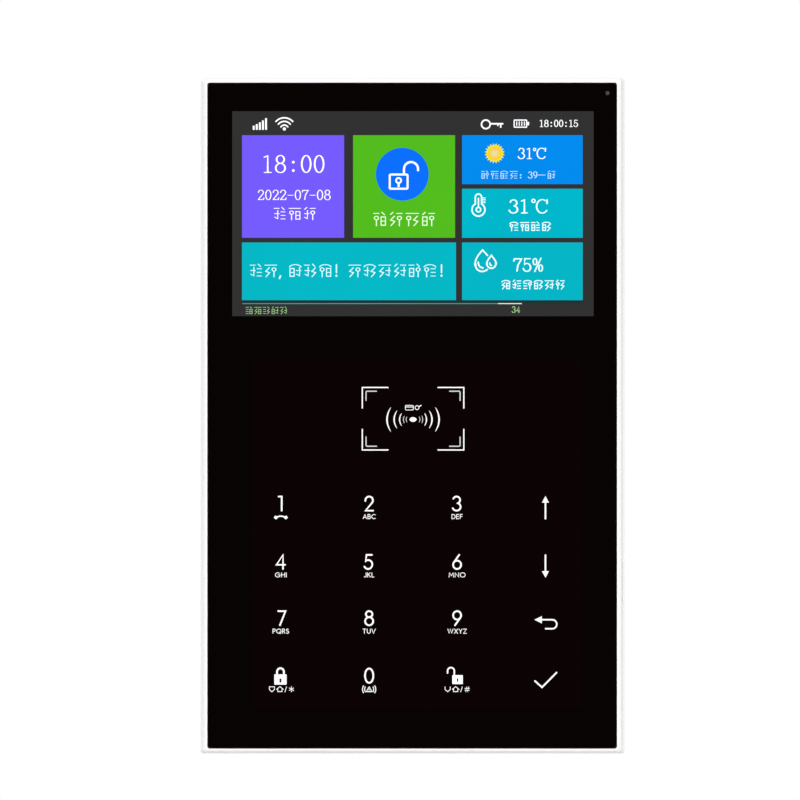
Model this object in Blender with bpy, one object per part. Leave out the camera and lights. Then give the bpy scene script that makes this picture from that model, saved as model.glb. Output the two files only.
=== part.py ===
"""Wall-hung alarm keypad panel: a white two-part housing behind one black lens, with a 4.3 inch display,
a backlit touch keypad, a card-reader coil and its electronics, hanging on the hooks of a steel wall bracket.

Units are metres. +Z is up, +X is the viewer's right and +Y points into the wall. The origin is the centre of
the bracket's back face, so every part of the panel has a negative Y.
"""

from math import copysign, cos, pi, sin

import bmesh
import bpy
from mathutils import Matrix, Vector

# Driving dimensions -------------------------------------------------------------------------------------
LENS_WIDTH = 0.1073
LENS_HEIGHT = 0.1746
LENS_THICK = 0.0018
LENS_RADIUS = 0.0005
LENS_GAP = 0.00015  # all round, between the lens and the frame's lip

LIP = 0.00045  # flat rim of the frame round the lens
SHOULDER_WIDTH = 0.1097
SHOULDER_HEIGHT = 0.1766
HOUSING_WIDTH = 0.1118  # widest section, close to the wall
HOUSING_HEIGHT = 0.1782
CORNER_RADIUS = 0.0008
WALL = 0.0018
CAVITY_WIDTH = 0.1060
CAVITY_HEIGHT = 0.1728
CAVITY_RADIUS = 0.0010
DISPLAY_OPENING = ((-0.0530, 0.0530), (0.0152, 0.0832))  # in the frame's shelf: X range, Z range
KEYPAD_OPENING = ((-0.0495, 0.0495), (-0.0832, 0.0137))

# Depths, from the viewer to the wall
FRONT_Y = -0.0180
SHOULDER_Y = -0.0173
LENS_BACK_Y = FRONT_Y + LENS_THICK
SHELF_Y = -0.0155
SHELF_BACK_Y = -0.0140
KEYPAD_BOARD_Y = (-0.0134, -0.0122)
MAIN_BOARD_Y = (-0.0090, -0.0074)
PARTING_Y = (-0.0086, -0.0084)
TONGUE_Y = (-0.0094, -0.0079)  # rim of the rear cover that closes the seam from inside
TONGUE_DEPTH = 0.0010
RECESS_Y = -0.0030
WIDEST_Y = -0.0026
EDGE_Y = -0.0013
COVER_BACK_Y = -0.0008
COVER_FLOOR_Y = WIDEST_Y
RECESS_INSIDE_Y = RECESS_Y - WALL

STACK_GAP = 0.0002  # between parts that lie on each other
REACH = 0.001  # how far a cutter runs past the face it cuts
BITE = 0.0005  # how deep a joined shape is sunk into its neighbour
RIBBON_THICK = 0.0003

# Display
DISPLAY_Z = 0.0530
ACTIVE_WIDTH, ACTIVE_HEIGHT = 0.09504, 0.05386
MODULE_WIDTH, MODULE_HEIGHT = 0.1055, 0.0672
MODULE_TOP = DISPLAY_Z + ACTIVE_HEIGHT / 2 + 0.0029
MODULE_BOTTOM = MODULE_TOP - MODULE_HEIGHT
MODULE_Y = (-0.0160, -0.0131)

# Keypad
KEY_PITCH_X = 0.0231
KEY_PITCH_Z = 0.0151
KEY_ROWS = KEY_COLUMNS = 4
TOP_KEY_Z = -0.0241
KEY_WINDOW = (0.0170, 0.0105)
LIGHT_GUIDE_Y = (-0.0148, -0.0136)
READER_Z = -0.0008
READER_WINDOW = (0.0300, 0.0190)
KEYPAD_TOP, KEYPAD_BOTTOM = 0.0135, -0.0780
KEYPAD_WIDTH = 0.0900

# Microphone port in the top right corner of the lens
MIC_X, MIC_Z = 0.0513, 0.0847
MIC_RADIUS = 0.0005
MIC_LIFT = 0.0003  # of the mesh and its hole in the tape, which clear the tape's top edge
MIC_X_RANGE, MIC_Z_RANGE = (0.0491, 0.0523), (0.0833, 0.0859)  # boot and capsule

# Side key
KEY_Z = -0.0434
KEY_LENGTH = 0.0118
KEY_DEPTH_Y = (-0.0137, -0.0107)
KEY_FACE_X = 0.0554
KEY_CLEARANCE = 0.00015

# Bracket and its hooks
BRACKET_WIDTH, BRACKET_HEIGHT = 0.088, 0.112
BRACKET_THICK = 0.0015
CABLE_HOLE = (0.048, 0.022)
CABLE_HOLE_Z = 0.018
WALL_SCREW_X, WALL_SCREW_Z = 0.030, 0.049  # half the screw pitches
SCREW_SLOT = (0.0045, 0.0090)
SCREW_SEAT = (0.0110, 0.0136)  # coined seat round each slot on the crossbar
SCREW_SEAT_DEPTH = 0.0006
HOOK_X = 0.036
HOOK_WIDTH = 0.008
HOOK_TOPS = (0.040, -0.030)  # top of each pair's tab, where the cover sits
HOOK_LIFT = 0.006
HOOK_TAB = 0.0015
HOOK_LIP_HEIGHT = 0.005
HOOK_LIP_Y = (-0.0063, -0.0051)
HOOK_BITE = (0.0003, 0.0002)  # how deep the tab is sunk into the lip and into the plate
RECESS_SIZE = (0.0930, 0.1200)
RECESS_Z = -0.0030

# Cable bay and USB-C port
BAY_X = 0.0150
BAY_Z = (-0.0218, 0.0150)
BAY_FLOOR_Y = -0.0096
BAY_WALL = 0.0014
PORT_SIZE = (0.00894, 0.0032)
PORT_Y = -0.0056
PORT_Z = (0.0160, 0.0233)
PORT_RADIUS = 0.0012
PORT_SHELL = 0.0003
PORT_CLEARANCE = 0.0002

# Screws
COVER_SCREWS = [(sx * 0.0440, sz * 0.0842) for sz in (1, -1) for sx in (-1, 1)]
COVER_SCREWS += [(sx * 0.0508, 0.0020) for sx in (-1, 1)]
BOARD_SCREWS = [(sx * 0.0455, z) for z in (0.075, 0.031) for sx in (-1, 1)]
BOARD_HOLE_RADIUS = 0.0011

# Label
LABEL_SIZE = (0.050, 0.016)
LABEL_THICK = 0.0002
LABEL_Z = 0.0705

# Main board
BOARD_WIDTH = 0.100
MODULE_RADIUS = 0.0006
BOARD_Z = (0.018, 0.080)

# SIM tray in the left wall
SIM_Z = 0.062
SIM_Y = -0.0063
SIM_HEAD = (0.0150, 0.0023)
SIM_HEAD_X = (-0.0554, -0.0534)
SIM_CLEARANCE = 0.0002

# Tamper plunger
TAMPER_X, TAMPER_Z = 0.036, -0.014
TAMPER_RADIUS = 0.0018
TAMPER_STEPS = 16

# Speaker, battery
SPEAKER_Z = -0.0760
SPEAKER_SIZE = (0.040, 0.019)
SPEAKER_RADIUS = 0.0015
SPEAKER_RIM = 0.0036  # taken off the frame's width and height by its bowl
BATTERY_SIZE = (0.059, 0.037)
BATTERY_PAD_SIZE = (0.050, 0.028)
BATTERY_Z = -0.0435

FLAT_LEFT = 0.0001  # straight stretch kept between the two arcs of a round end
CORNER_STEPS = 4
ROUND_STEPS = 14
SMALL_STEPS = 10


# Materials ----------------------------------------------------------------------------------------------
def make_material(name, colour, roughness, metallic=0.0, transmission=0.0, alpha=1.0):
    material = bpy.data.materials.new(name)
    material.use_nodes = True
    shader = material.node_tree.nodes["Principled BSDF"]
    shader.inputs["Base Color"].default_value = (*colour, 1.0)
    shader.inputs["Roughness"].default_value = roughness
    shader.inputs["Metallic"].default_value = metallic
    shader.inputs["Transmission Weight"].default_value = transmission
    shader.inputs["Alpha"].default_value = alpha
    return material


def make_materials():
    table = {
        "white_abs": ((0.90, 0.90, 0.90), 0.45),
        "black_lens": ((0.004, 0.003, 0.003), 0.08),
        "zinc_steel": ((0.60, 0.61, 0.62), 0.35, 1.0),
        "dark_screen": ((0.032, 0.032, 0.032), 0.20),
        "green_board": ((0.02, 0.16, 0.07), 0.45),
        "black_foam": ((0.015, 0.015, 0.016), 0.90),
        "clear_plastic": ((0.85, 0.88, 0.88), 0.20),
        "copper": ((0.72, 0.34, 0.18), 0.35, 1.0),
        "nickel": ((0.68, 0.67, 0.64), 0.30, 1.0),
        "amber_film": ((0.45, 0.20, 0.04), 0.40),
        "battery_foil": ((0.55, 0.56, 0.58), 0.35, 0.6),
        "black_plastic": ((0.02, 0.02, 0.022), 0.45),
        "cable_black": ((0.02, 0.02, 0.02), 0.55),
        "label_paper": ((0.80, 0.80, 0.78), 0.55),
    }
    return {name: make_material(name, *values) for name, values in table.items()}


# Mesh helpers -------------------------------------------------------------------------------------------
def rounded_rect(width, height, radius, centre=(0.0, 0.0), steps=CORNER_STEPS):
    """Outline in X and Z, four arcs joined by straight sides."""
    points = []
    for quarter, (sx, sz) in enumerate(((1, 1), (-1, 1), (-1, -1), (1, -1))):
        cx = centre[0] + sx * (width / 2 - radius)
        cz = centre[1] + sz * (height / 2 - radius)
        for step in range(steps + 1):
            angle = (quarter + step / steps) * pi / 2
            points.append((cx + radius * cos(angle), cz + radius * sin(angle)))
    return points


def rect(low, high):
    """Plain outline in X and Z between two corners."""
    return [(low[0], low[1]), (high[0], low[1]), (high[0], high[1]), (low[0], high[1])]


def close_loops(bm, loops):
    """Closed solid through rings of vertices with equal counts, capped at both ends."""
    faces = [bm.faces.new(loops[0]), bm.faces.new(list(reversed(loops[-1])))]
    for near, far in zip(loops, loops[1:]):
        for i, vert in enumerate(near):
            j = (i + 1) % len(near)
            faces.append(bm.faces.new((near[j], vert, far[i], far[j])))
    bmesh.ops.recalc_face_normals(bm, faces=faces)


def add_loft(bm, sections):
    """Closed solid through outlines with equal point counts, each given as (y, outline)."""
    close_loops(bm, [[bm.verts.new((x, y, z)) for x, z in outline] for y, outline in sections])


def add_prism(bm, outline, y_range):
    add_loft(bm, [(y_range[0], outline), (y_range[1], outline)])


def add_box(bm, x_range, y_range, z_range):
    add_prism(bm, rect((x_range[0], z_range[0]), (x_range[1], z_range[1])), y_range)


def add_turned(bm, centre, profile, axis="Y", steps=ROUND_STEPS):
    """Closed solid of revolution; the profile is (radius, place along the axis) from end to end."""
    turn = {"Y": Matrix.Identity(3), "X": Matrix.Rotation(-pi / 2, 3, "Z")}[axis]
    rings = []
    for radius, along in profile:
        circle = [2 * pi * i / steps for i in range(steps)]
        spots = [turn @ Vector((radius * cos(a), along, radius * sin(a))) for a in circle]
        rings.append([bm.verts.new(Vector(centre) + spot) for spot in spots])
    close_loops(bm, rings)


def spread(x_range, margin):
    """Range widened by a margin at both ends."""
    return x_range[0] - margin, x_range[1] + margin


def add_cylinder(bm, centre, radius, y_range, steps=ROUND_STEPS):
    """Cylinder along Y about (x, z)."""
    profile = [(radius, y_range[0]), (radius, y_range[1])]
    add_turned(bm, (centre[0], 0.0, centre[1]), profile, steps=steps)


def build_mesh(name, fill):
    """Mesh made by fill(bm)."""
    bm = bmesh.new()
    fill(bm)
    mesh = bpy.data.meshes.new(name)
    bm.to_mesh(mesh)
    bm.free()
    return mesh


def place(name, mesh, origin=(0.0, 0.0, 0.0)):
    """Object whose origin is at a chosen point and whose mesh stays where it was drawn."""
    mesh.transform(Matrix.Translation(-Vector(origin)))
    obj = bpy.data.objects.new(name, mesh)
    obj.location = origin
    bpy.context.scene.collection.objects.link(obj)
    return obj


def make_part(name, material, fill, origin=(0.0, 0.0, 0.0), smooth=True):
    mesh = build_mesh(name, fill)
    mesh.materials.append(material)
    obj = place(name, mesh, origin)
    if smooth:
        mesh.shade_smooth()
        mesh.set_sharp_from_angle(angle=pi / 6)
    return obj


def boolean(target, operation, name, fill):
    """Joins or cuts a hidden helper shape."""
    helper = place(f"{target.name}_{name}", build_mesh(name, fill))
    helper.hide_render = True
    helper.display_type = "WIRE"
    modifier = target.modifiers.new(name, "BOOLEAN")
    modifier.operation = operation
    modifier.solver = "EXACT"
    modifier.object = helper


def join(target, name, fill):
    boolean(target, "UNION", name, fill)


def cut(target, name, fill):
    boolean(target, "DIFFERENCE", name, fill)


def smooth_route(points, per_span=4):
    """Catmull-Rom curve through a cable's route points."""
    spots = [Vector(p) for p in points]
    spots = [2 * spots[0] - spots[1], *spots, 2 * spots[-1] - spots[-2]]
    route = []
    for a, b, c, d in zip(spots, spots[1:], spots[2:], spots[3:]):
        for step in range(per_span):
            t = step / per_span
            bend = (2 * a - 5 * b + 4 * c - d) * t * t + (3 * (b - c) + d - a) * t**3
            route.append(0.5 * (2 * b + (c - a) * t + bend))
    return [*route, spots[-2]]


def make_wire(name, material, points, radius, resolution=1):
    """Round wire along a list of points."""
    curve = bpy.data.curves.new(name, "CURVE")
    curve.dimensions = "3D"
    curve.bevel_depth = radius
    curve.bevel_resolution = resolution
    curve.use_fill_caps = True
    spline = curve.splines.new("POLY")
    spline.points.add(len(points) - 1)
    for point, spot in zip(spline.points, points):
        point.co = (*spot, 1.0)
    curve.materials.append(material)
    obj = bpy.data.objects.new(name, curve)
    bpy.context.scene.collection.objects.link(obj)
    return obj


def helix(start, axis, radius, length, turns, steps):
    """Points of a coil that starts at a point and runs along an axis ("X" or "Y")."""
    points = []
    for i in range(turns * steps + 1):
        angle = 2 * pi * i / steps
        along = length * i / (turns * steps)
        local = (along, radius * cos(angle), radius * sin(angle))
        if axis == "Y":
            local = (radius * cos(angle), along, radius * sin(angle))
        points.append(Vector(start) + Vector(local))
    return points


def add_ribbon(bm, x_range, path, thickness=RIBBON_THICK):
    """Flat cable that follows a path of (y, z) points, of even thickness across it."""
    spots = [Vector(p) for p in path]
    loops = []
    for i, spot in enumerate(spots):
        along = (spots[min(i + 1, len(spots) - 1)] - spots[max(i - 1, 0)]).normalized()
        side = Vector((-along.y, along.x)) * thickness / 2
        corners = [(x_range[0], spot + side), (x_range[1], spot + side)]
        corners += [(x_range[1], spot - side), (x_range[0], spot - side)]
        loops.append([bm.verts.new((x, p.x, p.y)) for x, p in corners])
    close_loops(bm, loops)


# Housing ------------------------------------------------------------------------------------------------
def housing_section(y):
    """Outer outline of the drafted side walls at a depth between the shoulder and the widest section."""
    share = (y - SHOULDER_Y) / (WIDEST_Y - SHOULDER_Y)
    width = SHOULDER_WIDTH + share * (HOUSING_WIDTH - SHOULDER_WIDTH)
    height = SHOULDER_HEIGHT + share * (HOUSING_HEIGHT - SHOULDER_HEIGHT)
    return y, rounded_rect(width, height, CORNER_RADIUS)


def front_frame(materials):
    """Front half of the housing: lip, drafted wall, lens shelf, cross bar and screw bosses."""
    lip_size = (LENS_WIDTH + 2 * (LENS_GAP + LIP), LENS_HEIGHT + 2 * (LENS_GAP + LIP))
    boss_radius, boss_y = 0.0026, (-0.0127, -0.0089)
    rib_y = (SHELF_BACK_Y - BITE, boss_y[1] - STACK_GAP)
    rib_half = 0.0020
    rib_to_side, rib_to_end = (0.0488, 0.0534), (0.0836, 0.0868)  # from the boss into the wall
    bar_back_y, bar_z = -0.0122, (0.0139, 0.0150)
    pilot_radius, pilot_y = 0.00135, (-0.0114, -0.0080)
    key_slot_x = (0.0520, 0.0570)

    def shell(bm):
        face = (FRONT_Y, rounded_rect(*lip_size, CORNER_RADIUS))
        add_loft(bm, [face, housing_section(SHOULDER_Y), housing_section(PARTING_Y[0])])

    def lens_pocket(bm):
        size = (LENS_WIDTH + 2 * LENS_GAP, LENS_HEIGHT + 2 * LENS_GAP)
        add_prism(bm, rounded_rect(*size, LENS_RADIUS + LENS_GAP), (FRONT_Y - REACH, SHELF_Y))

    def cavity(bm):
        outline = rounded_rect(CAVITY_WIDTH, CAVITY_HEIGHT, CAVITY_RADIUS, steps=2)
        add_prism(bm, outline, (SHELF_BACK_Y, PARTING_Y[0] + REACH))

    def shelf_openings(bm):
        through = spread((SHELF_Y, SHELF_BACK_Y), REACH)
        for x_range, z_range in (DISPLAY_OPENING, KEYPAD_OPENING):
            add_box(bm, x_range, through, z_range)

    def bosses(bm):
        for spot in COVER_SCREWS:
            add_cylinder(bm, spot, boss_radius, boss_y)

    def boss_ribs(bm):
        for x, z in COVER_SCREWS:
            if abs(z) > abs(x):
                z_range = sorted(copysign(end, z) for end in rib_to_end)
                add_box(bm, spread((x, x), rib_half), rib_y, z_range)
            else:
                x_range = sorted(copysign(side, x) for side in rib_to_side)
                add_box(bm, x_range, rib_y, spread((z, z), rib_half))

    def cross_bar(bm):
        half = CAVITY_WIDTH / 2 + BITE
        add_box(bm, (-half, half), (SHELF_BACK_Y - BITE, bar_back_y), bar_z)

    def holes(bm):
        for spot in COVER_SCREWS:
            add_cylinder(bm, spot, pilot_radius, pilot_y, SMALL_STEPS)
        through = spread((SHELF_Y, SHELF_BACK_Y), REACH)
        add_cylinder(bm, (MIC_X, MIC_Z), MIC_RADIUS, through, SMALL_STEPS)

    frame = make_part("front_frame", materials["white_abs"], shell)
    cut(frame, "lens_pocket", lens_pocket)
    cut(frame, "cavity", cavity)
    cut(frame, "shelf_openings", shelf_openings)
    join(frame, "bosses", bosses)
    join(frame, "boss_ribs", boss_ribs)
    join(frame, "cross_bar", cross_bar)
    cut(frame, "holes", holes)
    cut(frame, "key_slot", lambda bm: add_key_outline(bm, KEY_CLEARANCE, key_slot_x))


def add_key_outline(bm, clearance, x_range):
    """Round-ended bar along Z that the side key and its slot share, drawn along X."""
    depth = KEY_DEPTH_Y[1] - KEY_DEPTH_Y[0] + 2 * clearance
    length = KEY_LENGTH + 2 * clearance
    radius = depth / 2 - FLAT_LEFT
    outline = rounded_rect(depth, length, radius, (sum(KEY_DEPTH_Y) / 2, KEY_Z))
    close_loops(bm, [[bm.verts.new((x, y, z)) for y, z in outline] for x in x_range])


def rear_cover(materials):
    """Rear half of the housing, with bracket recess, cable bay, screw pillars and speaker grille."""
    edge_inset, back_inset = 0.0007, 0.0020  # taken off the widest section's width and height
    recess_radius, block_radius = 0.004, 0.005
    tongue_overlap = 0.0003
    notch_half = 0.0030
    notch_to_side, notch_to_end = (0.0480, 0.0540), (0.0810, 0.0870)
    bay_roof = 0.0012
    pillar_back_y = COVER_FLOOR_Y + BITE
    cover_pillar_radius, cover_pillar_y = 0.0034, -0.0081
    board_pillar_radius, board_pillar_y = 0.0024, -0.0072
    screw_hole = [(0.0014, -0.0097), (0.0014, -0.0044), (0.0026, -0.0044), (0.0026, 0.0002)]
    pilot_y = (-0.0082, -0.0050)
    hook_play = 0.0005
    port_top_gap = 0.0005
    sim_slot_x = (-0.057, -0.052)
    tamper_play = 0.0003
    grille_count, grille_pitch = 9, 0.0036
    grille_slot, grille_radius = (0.0015, 0.0125), 0.0007

    def shell(bm):
        sections = [housing_section(PARTING_Y[1]), housing_section(WIDEST_Y)]
        for y, inset in ((EDGE_Y, edge_inset), (COVER_BACK_Y, back_inset)):
            sections.append((y, rounded_rect(HOUSING_WIDTH - inset, HOUSING_HEIGHT - inset, CORNER_RADIUS)))
        add_loft(bm, sections)

    def cavity_outline(inset):
        return rounded_rect(CAVITY_WIDTH - 2 * inset, CAVITY_HEIGHT - 2 * inset, CAVITY_RADIUS, steps=2)

    def tongue_notches(bm):
        y_range = (TONGUE_Y[0] - REACH, PARTING_Y[0])
        for x, z in COVER_SCREWS:
            if abs(z) > abs(x):
                z_range = sorted(copysign(end, z) for end in notch_to_end)
                add_box(bm, spread((x, x), notch_half), y_range, z_range)
            else:
                x_range = sorted(copysign(side, x) for side in notch_to_side)
                add_box(bm, x_range, y_range, spread((z, z), notch_half))

    def recess_block(bm):
        size = [side + 2 * WALL for side in RECESS_SIZE]
        outline = rounded_rect(*size, block_radius, (0.0, RECESS_Z), steps=3)
        add_prism(bm, outline, (RECESS_INSIDE_Y, COVER_FLOOR_Y + BITE))

    def bay_block(bm):
        x_range = spread((-BAY_X, BAY_X), BAY_WALL)
        add_box(bm, x_range, (BAY_FLOOR_Y - bay_roof, RECESS_Y - BITE), spread(BAY_Z, BAY_WALL))

    def pillars(bm):
        for spot in COVER_SCREWS:
            add_cylinder(bm, spot, cover_pillar_radius, (cover_pillar_y, pillar_back_y))
        for spot in BOARD_SCREWS:
            add_cylinder(bm, spot, board_pillar_radius, (board_pillar_y, pillar_back_y), SMALL_STEPS)

    def recess(bm):
        outline = rounded_rect(*RECESS_SIZE, recess_radius, (0.0, RECESS_Z), steps=3)
        add_prism(bm, outline, (RECESS_Y, COVER_BACK_Y + REACH))

    def bay(bm):
        add_box(bm, (-BAY_X, BAY_X), (BAY_FLOOR_Y, RECESS_Y + REACH), BAY_Z)

    def screw_holes(bm):
        for x, z in COVER_SCREWS:
            add_turned(bm, (x, 0.0, z), screw_hole)
        for spot in BOARD_SCREWS:
            add_cylinder(bm, spot, BOARD_HOLE_RADIUS, pilot_y, SMALL_STEPS)

    def hook_slots(bm):
        half = HOOK_WIDTH / 2 + hook_play
        through = spread((RECESS_INSIDE_Y, RECESS_Y), REACH)
        for top in HOOK_TOPS:
            for x in (-HOOK_X, HOOK_X):
                z_range = (top - HOOK_TAB - HOOK_LIFT - hook_play, top + STACK_GAP)
                add_box(bm, (x - half, x + half), through, z_range)

    def ports(bm):
        half_port = [side / 2 + PORT_CLEARANCE for side in PORT_SIZE]
        port_y = spread((PORT_Y, PORT_Y), half_port[1])
        port_z = (BAY_Z[1] - REACH, PORT_Z[1] + port_top_gap)
        add_box(bm, (-half_port[0], half_port[0]), port_y, port_z)
        half_head = [side / 2 + SIM_CLEARANCE for side in SIM_HEAD]
        add_box(bm, sim_slot_x, spread((SIM_Y, SIM_Y), half_head[1]), spread((SIM_Z, SIM_Z), half_head[0]))
        through = spread((RECESS_INSIDE_Y, RECESS_Y), REACH)
        add_cylinder(bm, (TAMPER_X, TAMPER_Z), TAMPER_RADIUS + tamper_play, through, TAMPER_STEPS)

    def grille(bm):
        for i in range(grille_count):
            x = (i - (grille_count - 1) / 2) * grille_pitch
            slot = rounded_rect(*grille_slot, grille_radius, (x, SPEAKER_Z), steps=2)
            add_prism(bm, slot, spread((COVER_FLOOR_Y, COVER_BACK_Y), REACH))

    cover = make_part("rear_cover", materials["white_abs"], shell)
    join(cover, "tongue", lambda bm: add_prism(bm, cavity_outline(STACK_GAP), TONGUE_Y))
    inside_y = (TONGUE_Y[0] - REACH, TONGUE_Y[1] + tongue_overlap)
    cut(cover, "tongue_inside", lambda bm: add_prism(bm, cavity_outline(TONGUE_DEPTH), inside_y))
    cut(cover, "cavity", lambda bm: add_prism(bm, cavity_outline(0.0), (TONGUE_Y[1], COVER_FLOOR_Y)))
    cut(cover, "tongue_notches", tongue_notches)
    join(cover, "recess_block", recess_block)
    join(cover, "bay_block", bay_block)
    join(cover, "pillars", pillars)
    cut(cover, "recess", recess)
    cut(cover, "bay", bay)
    cut(cover, "screw_holes", screw_holes)
    cut(cover, "hook_slots", hook_slots)
    cut(cover, "ports", ports)
    cut(cover, "grille", grille)


def front_lens(materials):
    """Printed acrylic sheet that covers display, card reader and keypad, pierced only for the microphone."""

    def sheet(bm):
        add_prism(bm, rounded_rect(LENS_WIDTH, LENS_HEIGHT, LENS_RADIUS), (FRONT_Y, LENS_BACK_Y))

    def mic_hole(bm):
        through = (FRONT_Y - REACH, LENS_BACK_Y + REACH)
        add_cylinder(bm, (MIC_X, MIC_Z), MIC_RADIUS, through, SMALL_STEPS)

    lens = make_part("front_lens", materials["black_lens"], sheet)
    cut(lens, "mic_hole", mic_hole)


def lens_adhesive(materials):
    """Die-cut tape between the lens and the frame's shelf."""
    y_range = (LENS_BACK_Y + STACK_GAP, SHELF_Y - STACK_GAP)
    through = spread(y_range, REACH)
    side_inset, end_inset = 0.0001, 0.0003
    window_margin = 0.0002  # past the shelf's own openings
    mic_window_radius = 0.0014

    def sheet(bm):
        size = (LENS_WIDTH - 2 * side_inset, LENS_HEIGHT - 2 * end_inset)
        add_prism(bm, rounded_rect(*size, LENS_RADIUS), y_range)

    def windows(bm):
        for x_range, z_range in (DISPLAY_OPENING, KEYPAD_OPENING):
            add_box(bm, spread(x_range, window_margin), through, spread(z_range, window_margin))
        add_cylinder(bm, (MIC_X, MIC_Z + MIC_LIFT), mic_window_radius, through, SMALL_STEPS)

    tape = make_part("lens_adhesive", materials["black_foam"], sheet)
    cut(tape, "windows", windows)


# Display ------------------------------------------------------------------------------------------------
def display(materials):
    """LCD module: steel tray, glass cell, light guide and flexible tail."""
    front, back = MODULE_Y
    x_range = (-MODULE_WIDTH / 2, MODULE_WIDTH / 2)
    z_range = (MODULE_BOTTOM, MODULE_TOP)
    tray_face, tray_wall = 0.0003, 0.0005
    window_margin = 0.0008  # round the active area
    glass_y, backlight_y = (-0.0155, -0.0144), (-0.0142, -0.0133)
    layer_inset = 0.0008
    tail_half = 0.010

    def tray(bm):
        add_box(bm, x_range, MODULE_Y, z_range)

    def tray_inside(bm):
        y_range = (front + tray_face, back + REACH)
        add_box(bm, spread(x_range, -tray_wall), y_range, spread(z_range, -tray_wall))

    def tray_window(bm):
        half_width = ACTIVE_WIDTH / 2 + window_margin
        half_height = ACTIVE_HEIGHT / 2 + window_margin
        window_z = spread((DISPLAY_Z, DISPLAY_Z), half_height)
        add_box(bm, (-half_width, half_width), spread((front, front), REACH), window_z)

    def layer(y_range):
        return lambda bm: add_box(bm, spread(x_range, -layer_inset), y_range, spread(z_range, -layer_inset))

    def tail(bm):
        path = [(-0.0128, 0.0205), (-0.0127, 0.0225), (-0.0120, 0.0245), (-0.0112, 0.0262), (-0.0108, 0.0285)]
        add_ribbon(bm, (-tail_half, tail_half), path)

    bezel = make_part("lcd_bezel", materials["nickel"], tray, smooth=False)
    cut(bezel, "inside", tray_inside)
    cut(bezel, "window", tray_window)
    make_part("lcd_glass", materials["dark_screen"], layer(glass_y), smooth=False)
    make_part("lcd_backlight", materials["clear_plastic"], layer(backlight_y), smooth=False)
    make_part("lcd_flex", materials["amber_film"], tail, smooth=False)


# Keypad -------------------------------------------------------------------------------------------------
def key_spots():
    """Centre of each key's window, row by row."""
    for row in range(KEY_ROWS):
        for column in range(KEY_COLUMNS):
            x = (column - (KEY_COLUMNS - 1) / 2) * KEY_PITCH_X
            yield x, TOP_KEY_Z - row * KEY_PITCH_Z


def keypad(materials):
    """Touch keypad stack behind the lens: light mask, light guide, board with its LEDs, reader coil."""
    x_range = (-KEYPAD_WIDTH / 2, KEYPAD_WIDTH / 2)
    z_range = (KEYPAD_BOTTOM, KEYPAD_TOP)
    mask_y = (LENS_BACK_Y + STACK_GAP, LIGHT_GUIDE_Y[0] - STACK_GAP)
    board_margin = 0.003  # carries the lamps on both sides of the light guide
    lamp_x, lamp_half_height = (0.0459, 0.0471), 0.0015
    lamp_y = (-0.0142, KEYPAD_BOARD_Y[0] + STACK_GAP)
    connector_x, connector_z = (-0.0390, -0.0270), (-0.0010, 0.0030)
    connector_y = (KEYPAD_BOARD_Y[1] - STACK_GAP, -0.0112)
    coil_size, coil_radius, coil_y = (0.044, 0.026), 0.005, (-0.0120, -0.0116)
    coil_opening, coil_opening_radius = (0.036, 0.018), 0.002
    ribbon_x = (-0.0380, -0.0280)

    def mask_windows(bm):
        spots = [(spot, KEY_WINDOW) for spot in key_spots()]
        spots.append(((0.0, READER_Z), READER_WINDOW))
        for (x, z), (wide, high) in spots:
            add_box(bm, spread((x, x), wide / 2), spread(mask_y, REACH), spread((z, z), high / 2))

    def lamps(bm):
        for side in (-1, 1):
            for row in range(KEY_ROWS):
                z = TOP_KEY_Z - row * KEY_PITCH_Z
                add_box(bm, sorted(side * x for x in lamp_x), lamp_y, spread((z, z), lamp_half_height))

    def coil_outline(bm):
        add_prism(bm, rounded_rect(*coil_size, coil_radius, (0.0, READER_Z)), coil_y)

    def coil_inside(bm):
        outline = rounded_rect(*coil_opening, coil_opening_radius, (0.0, READER_Z), 3)
        add_prism(bm, outline, spread(coil_y, REACH))

    def ribbon(bm):
        path = [(-0.0116, 0.0034), (-0.0113, 0.0060), (-0.0108, 0.0110), (-0.0108, 0.0150), (-0.0104, 0.0178)]
        path += [(-0.0099, 0.0200)]
        add_ribbon(bm, ribbon_x, path)

    def sheet(y_range, margin=0.0):
        return lambda bm: add_box(bm, spread(x_range, margin), y_range, z_range)

    mask = make_part("light_mask", materials["black_foam"], sheet(mask_y))
    cut(mask, "windows", mask_windows)
    make_part("light_guide", materials["clear_plastic"], sheet(LIGHT_GUIDE_Y))
    board_sheet = sheet(KEYPAD_BOARD_Y, board_margin)
    board = make_part("keypad_board", materials["green_board"], board_sheet, smooth=False)
    join(board, "lamps", lamps)
    join(board, "connector", lambda bm: add_box(bm, connector_x, connector_y, connector_z))
    coil = make_part("rfid_coil", materials["copper"], coil_outline)
    cut(coil, "inside", coil_inside)
    make_part("keypad_ribbon", materials["label_paper"], ribbon, smooth=False)


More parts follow.
